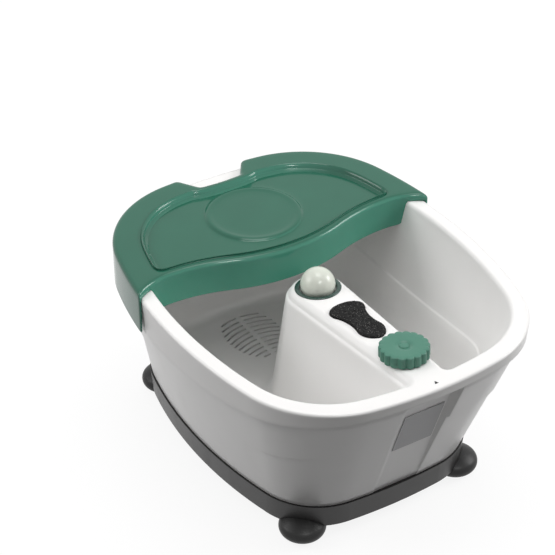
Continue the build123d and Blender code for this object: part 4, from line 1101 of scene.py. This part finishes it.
@dataclass
class StoneSet:
    """Pumice stone and the seat that it lies in."""

    form: Form
    console: Console
    rear: float = -37.0
    rear_half: float = 17.0
    waist_y: float = -69.0
    waist_half: float = 10.8
    front_y: float = -84.0
    front_half: float = 12.2
    front: float = -101.5
    thick: float = 9.0
    rise: float = 3.0
    fit: float = 0.4
    relief: float = 0.42

    def outline(self, grow: float = 0.0, count: int = 360) -> np.ndarray:
        """The hourglass outline on the console's top, moved out by a distance, anticlockwise."""
        rear, half = self.rear, self.rear_half
        right = [((0, rear), (half * 0.35, rear - 0.6), (half * 0.65, rear - 2.4)),
                 ((half * 0.65, rear - 2.4), (half, rear - 9.5), (half * 0.86, rear - 18.0)),
                 ((half * 0.86, rear - 18.0), (self.waist_half, self.waist_y), (self.front_half, self.front_y)),
                 ((self.front_half, self.front_y), (self.front_half * 0.86, self.front_y - 9.5),
                  (0, self.front))]
        points = np.vstack([arc_through(*three, 40)[:-1] for three in right] + [np.array([[0, self.front]])])
        loop = evenly(both_halves(points[::-1]), count, True)
        loop = softened(loop, 1.5)
        return loop + outward(loop) * grow

    @staticmethod
    def _noise(points: np.ndarray, pitch: float, seed: int) -> np.ndarray:
        """Value noise: random heights on a lattice of a pitch, blended smoothly between its corners."""
        lattice = np.random.default_rng(seed).random((96, 96, 32))
        place = points / pitch + np.array([48.0, 70.0, 8.0]) + 100
        cell = np.floor(place).astype(int)
        t = smooth_step(place - cell)
        total = np.zeros(len(points))
        for corner in np.ndindex(2, 2, 2):
            weight = np.prod(np.where(np.array(corner) == 1, t, 1 - t), axis=1)
            at = (cell + np.array(corner)) % np.array(lattice.shape)
            total += weight * lattice[at[:, 0], at[:, 1], at[:, 2]]
        return total

    def build(self, palette: Palette) -> None:
        """Builds the stone from rings that close in on its middle, roughened along its normals."""
        loop = self.outline()
        middle = np.array([0.0, (self.rear + self.front) / 2 - 1.0])
        low, high = self.rise - self.thick + 0.1, self.rise - 0.25
        rings = [(0.0, low)] + [(0.0, low + (high - 1.2 - low) * s) for s in np.linspace(0.15, 1, 7)]
        rings += [(1.3 * (1 - cos(a)), high - 1.2 + 1.2 * sin(a)) for a in np.linspace(0.25, pi / 2, 5)]
        normal = outward(loop)
        rows = [np.column_stack([loop - normal * e, np.full(len(loop), z)]) for e, z in rings]
        top = rows[-1]
        for share in np.linspace(1, 0, 46)[1:-1]:
            plan = middle + (top[:, :2] - middle) * share
            rows.append(np.column_stack([plan, high + 0.25 * (1 - share**2) + 0 * plan[:, 0]]))
        rows.append(np.column_stack([np.repeat(middle[None], len(loop), 0), np.full(len(loop), high + 0.25)]))
        grid = np.array(rows)
        flat = grid.reshape(-1, 3)
        coarse, fine, pits = (self._noise(flat, p, s) for p, s in ((3.0, 5), (0.9, 6), (1.5, 7)))
        rough = self.relief * (0.5 * (coarse - 1) + 0.7 * (fine - 1) - 1.6 * smooth_step((pits - 0.62) / 0.2))
        up = np.zeros_like(grid)
        up[:8, :, :2] = normal
        up[8:, :, 2] = 1.0
        grid = grid + up * rough.reshape(grid.shape[:2])[..., None]
        grid[-1] = grid[-1].mean(0)
        skin = Skin()
        skin.grid(grid, flip=False)
        skin.fill([grid[0][:, :2]], 3.0, lambda x, y: np.full_like(x, low), flip=True)
        piece = skin.build("pumice_block", palette.pumice, place=self.console.place(0), sharp=80.0)
        settle(piece, Body.STONE, "pumice_black", "pumice_stone")
        self._seat(palette)

    def _seat(self, palette: Palette) -> None:
        """The cup under the console's top that the stone lies in."""
        loop = self.outline(self.fit + 0.5, 240)
        floor = self.rise - self.thick - 0.3
        normal = outward(loop)
        rings = [(0.0, -1.6), (0.0, -3.0), (0.0, floor + 1.2), (0.35, floor + 0.35), (1.2, floor)]
        rows = np.array([np.column_stack([loop - normal * e, np.full(len(loop), z)]) for e, z in rings])
        skin = Skin()
        skin.grid(rows, flip=False)
        skin.fill([rows[-1][:, :2]], 6.0, lambda x, y: np.full_like(x, floor))
        piece = skin.build("stone_seat", palette.white, wall=1.2, place=self.console.place(0))
        settle(piece, Body.HOUSING, "tub_white")


@dataclass
class KnobAssembly:
    """Scalloped control knob."""

    radius: float = 22.3
    height: float = 11.0
    lift: float = 0.8
    lobes: int = 18
    depth: float = 0.085
    y: float = -136.5

    def build(self, console: Console, palette: Palette) -> None:
        """Turns the knob's profile, with lobes that fade out towards the middle of its top."""
        r, h, skin = self.radius, self.height, 2.0
        parts = [
            np.array([[r - 5.2, 0.2], [r - 1.2, 0.0]]),
            arc((r - 1.0, 1.0), 1.0, -60, 0, 4),
            arc((r - 1.3, h - 1.7), 1.3, 0, 82, 7),
            np.array([[r - 5.0, h - 0.2], [9.5, h - 0.75], [5.6, h - 0.8], [5.0, h - 1.5], [4.2, h - 1.5],
                      [3.7, h - 0.7], [2.0, h - 0.6], [0.0, h - 0.6]]),
            np.array([[0.0, h - skin - 0.6], [r - 5.2, h - skin - 0.6], [r - 5.2, 0.2]]),
        ]
        profile = np.concatenate(parts)
        around = 320
        turn = np.linspace(0, 2 * pi, around, endpoint=False)
        wave = np.abs(np.sin(turn * self.lobes / 2)) ** 0.75
        fade = np.clip((profile[:, 0] - (r - 5.0)) / 4.0, 0, 1)[:, None]
        lobes = 1 - self.depth * fade * (1 - wave[None, :])
        knob = lathe("knob_cap", profile, around, palette.knob, console.place(self.y, self.lift), lobes)
        settle(knob, Body.KNOB, "knob_green", "control_knob")


@dataclass
class BallAssembly:
    """Massage ball and the dark ring around it."""

    radius: float = 16.1
    rise: float = 3.9
    ring: float = 21.5
    bore: float = 17.0
    lip: float = 1.0
    hole: float = 19.8

    def build(self, console: Console, palette: Palette) -> None:
        """Turns the ball and the ring."""
        angle = np.radians(np.linspace(-90, 90, 65))
        profile = np.stack([self.radius * np.cos(angle), self.radius * np.sin(angle)], -1)
        ball = lathe("pearl_ball", profile, 96, palette.pearl, console.place(0, self.rise))
        settle(ball, Body.BALL, "ball_pearl", "massage_ball")
        ro, ri, lip = self.ring, self.bore, self.lip
        edge = np.concatenate([
            np.array([[ri, -3.0], [19.4, -3.0], [19.4, 0.0], [ro - 0.2, 0.0]]),
            arc((ro - 0.9, lip - 0.9), 0.9, 0, 90, 5),
            np.array([[ri + 1.4, lip]]),
            arc((ri + 1.2, lip - 1.2), 1.2, 90, 180, 5),
            np.array([[ri, -3.0]]),
        ])
        ring = lathe("ball_ring", edge, 128, palette.bezel, console.place(0))
        settle(ring, Body.HOUSING, "bezel_green", "ball_bezel")


@dataclass
class Pointer:
    """Small printed triangle on the rim in front of the knob."""

    form: Form
    y: float = -186.0
    size: float = 3.6
    thick: float = 0.15

    def build(self, palette: Palette) -> None:
        """A thin prism that lies on the rim and points at the knob."""
        s = self.size
        plan = np.array([[-s / 2, -s / 2], [s / 2, -s / 2], [0, s / 2]]) + np.array([0, self.y])
        rows = [np.column_stack([plan, np.full(3, self.form.rim_z + z)]) for z in (-self.thick, self.thick)]
        skin = Skin()
        skin.grid(np.array(rows), flip=False)
        for row, flip in zip(rows, (True, False)):
            skin.add(row, np.array([[2, 1, 0] if flip else [0, 1, 2]]))
        settle(skin.build("rim_pointer", palette.rubber), Body.HOUSING, "base_black")


class CadFinish:
    """Gives each CAD node that stays its finish."""

    BY_SLOT = {
        "tub_white": "white", "body_white": "white", "base_black": "black", "plate_grey": "plate",
        "cover_green": "green", "bezel_green": "bezel", "inner_white": "inner", "ball_pearl": "pearl",
        "pumice_black": "pumice", "knob_green": "knob", "steel": "steel", "foot_rubber": "rubber",
        "switch_black": "dark", "weight_iron": "iron", "pump_grey": "pump", "hose_clear": "hose",
        "heater_aluminium": "alloy", "fuse_body": "fuse",
    }

    def dress(self, palette: Palette) -> None:
        """Assigns the finish of each node's slot to the node's material slots."""
        for part in frame["record"]["subparts"]:
            node = frame["nodes"][part["node"]]
            material = getattr(palette, self.BY_SLOT[part["material_slot"]])
            if not node.material_slots:
                node.data.materials.append(material)
            for slot in node.material_slots:
                slot.material = material
        LOG.info("CAD nodes dressed")


# ---------------------------------------------------------------- stage


@dataclass
class Studio:
    """Floor, lights and camera."""

    spot: tuple = (-0.7020, -1.0776, 1.0946)
    azimuth: float = -31.546
    elevation: float = 35.338
    lens: float = 112.43
    sky: tuple = (0.12, 0.90)

    def camera(self) -> None:
        """Adds the camera at the viewing angle."""
        data = bpy.data.cameras.new("view")
        data.lens = self.lens
        data.sensor_width = 36.0
        data.clip_end = 20.0
        camera = bpy.data.objects.new("view", data)
        a, e = radians(self.azimuth), radians(self.elevation)
        back = Vector((sin(a) * cos(e), -cos(a) * cos(e), sin(e)))
        right = Vector((cos(a), sin(a), 0))
        up = back.cross(right)
        turn = Matrix((right, up, back)).transposed().to_4x4()
        camera.matrix_world = Matrix.Translation(Vector(self.spot)) @ turn
        bpy.context.scene.collection.objects.link(camera)
        bpy.context.scene.camera = camera

    @staticmethod
    def lamp(name: str, spot: tuple, aim: tuple, size: float, power: float, gleam: bool = False) -> None:
        """Adds an area lamp that points at a spot, or one that only reflections see."""
        data = bpy.data.lights.new(name, "AREA")
        data.size = size
        data.energy = power
        lamp = bpy.data.objects.new(name, data)
        lamp.location = spot
        lamp.rotation_euler = (Vector(aim) - Vector(spot)).to_track_quat("-Z", "Y").to_euler()
        lamp.visible_diffuse = not gleam
        bpy.context.scene.collection.objects.link(lamp)

    @staticmethod
    def _background_rays(nodes: bpy.types.Nodes, links: bpy.types.NodeLinks) -> bpy.types.NodeSocket:
        """A mask of the rays that see the background: camera, glossy and transmission rays."""
        path = nodes.new("ShaderNodeLightPath")
        first, second = nodes.new("ShaderNodeMath"), nodes.new("ShaderNodeMath")
        first.operation = second.operation = "MAXIMUM"
        links.new(path.outputs["Is Camera Ray"], first.inputs[0])
        links.new(path.outputs["Is Glossy Ray"], first.inputs[1])
        links.new(first.outputs[0], second.inputs[0])
        links.new(path.outputs["Is Transmission Ray"], second.inputs[1])
        return second.outputs[0]

    def _sky(self, nodes: bpy.types.Nodes, links: bpy.types.NodeLinks) -> bpy.types.NodeSocket:
        """Strength of the diffuse sky: it grows with height, and is dim in front, towards the camera."""
        where, split = nodes.new("ShaderNodeTexCoord"), nodes.new("ShaderNodeSeparateXYZ")
        rise, lobe = nodes.new("ShaderNodeMapRange"), nodes.new("ShaderNodeMapRange")
        facing, both = nodes.new("ShaderNodeVectorMath"), nodes.new("ShaderNodeMath")
        facing.operation = "DOT_PRODUCT"
        facing.inputs[1].default_value = (-0.42, -0.90, 0.05)
        rise.inputs["From Min"].default_value = 0.0
        rise.inputs["From Max"].default_value = 0.9
        rise.inputs["To Min"].default_value = self.sky[0]
        rise.inputs["To Max"].default_value = self.sky[1]
        lobe.inputs["From Min"].default_value = 0.25
        lobe.inputs["From Max"].default_value = 0.95
        lobe.inputs["To Min"].default_value = 1.0
        lobe.inputs["To Max"].default_value = 0.03
        both.operation = "MULTIPLY"
        links.new(where.outputs["Generated"], split.inputs[0])
        links.new(where.outputs["Generated"], facing.inputs[0])
        links.new(split.outputs["Z"], rise.inputs["Value"])
        links.new(facing.outputs["Value"], lobe.inputs["Value"])
        links.new(rise.outputs[0], both.inputs[0])
        links.new(lobe.outputs[0], both.inputs[1])
        return both.outputs[0]

    def lights(self) -> None:
        """Adds the lamps and the pale world."""
        self.lamp("over", (0.10, 0.10, 1.9), (0, 0, 0.1), 0.9, 8.0)
        self.lamp("right", (1.45, -0.55, 1.0), (0, 0, 0.10), 0.7, 13.0)
        self.lamp("front", (-0.30, -1.35, 1.55), (0, 0, 0.15), 0.30, 9.0, gleam=True)
        self.lamp("left", (-1.35, 0.75, 1.15), (0, 0, 0.12), 0.8, 8.5)
        world = bpy.data.worlds.new("studio")
        world.use_nodes = True
        nodes, links = world.node_tree.nodes, world.node_tree.links
        nodes.clear()
        out = nodes.new("ShaderNodeOutputWorld")
        fill, seen = nodes.new("ShaderNodeBackground"), nodes.new("ShaderNodeBackground")
        fill.inputs["Color"].default_value = (1.0, 1.0, 1.0, 1)
        links.new(self._sky(nodes, links), fill.inputs["Strength"])
        seen.inputs["Color"].default_value = (1.0, 1.0, 1.0, 1)
        seen.inputs["Strength"].default_value = 1.0
        mix = nodes.new("ShaderNodeMixShader")
        links.new(self._background_rays(nodes, links), mix.inputs["Fac"])
        links.new(fill.outputs[0], mix.inputs[1])
        links.new(seen.outputs[0], mix.inputs[2])
        links.new(mix.outputs[0], out.inputs["Surface"])
        bpy.context.scene.world = world

    def floor(self) -> None:
        """Adds a wide floor that reads as white and keeps the object's shadow."""
        side = 6000.0
        corners = np.array([[-side, -side, 0], [side, -side, 0], [side, side, 0], [-side, side, 0]])
        material = bpy.data.materials.new("floor_white")
        material.use_nodes = True
        nodes, links = material.node_tree.nodes, material.node_tree.links
        shader = nodes["Principled BSDF"]
        shader.inputs["Base Color"].default_value = (0.14, 0.14, 0.14, 1)
        shader.inputs["Roughness"].default_value = 0.9
        shader.inputs["Specular IOR Level"].default_value = 0.0
        glow = nodes.new("ShaderNodeMath")
        glow.operation = "MULTIPLY"
        glow.inputs[1].default_value = 0.88
        links.new(self._background_rays(nodes, links), glow.inputs[0])
        links.new(glow.outputs[0], shader.inputs["Emission Strength"])
        shader.inputs["Emission Color"].default_value = (1, 1, 1, 1)
        skin = Skin()
        skin.add(corners, np.array([[0, 1, 2, 3]]))
        skin.build("studio_floor", material)


def main() -> None:
    """Builds the looks in order."""
    logging.basicConfig(level=logging.INFO)
    bpy.context.scene.view_settings.view_transform = "Standard"
    studio = Studio()
    studio.camera()
    palette = Palette(Finishes())
    CadFinish().dress(palette)
    form = Form()
    console = Console(form)
    stone, ball, knob = StoneSet(form, console), BallAssembly(), KnobAssembly()
    holes = [console.flat(stone.outline(stone.fit, 160)), console.flat(arc((0, 0), ball.hole, 0, 357, 120)),
             console.flat(arc((0, knob.y), 5.0, 0, 350, 36))]
    TubShell(form, console).build(palette, holes)
    WellNubs(form).build(palette)
    BodyShell(form).build(palette)
    CoverShell(form).build(palette)
    stone.build(palette)
    knob.build(console, palette)
    ball.build(console, palette)
    Pointer(form).build(palette)
    studio.lights()
    studio.floor()


if __name__ == "__main__":
    main()
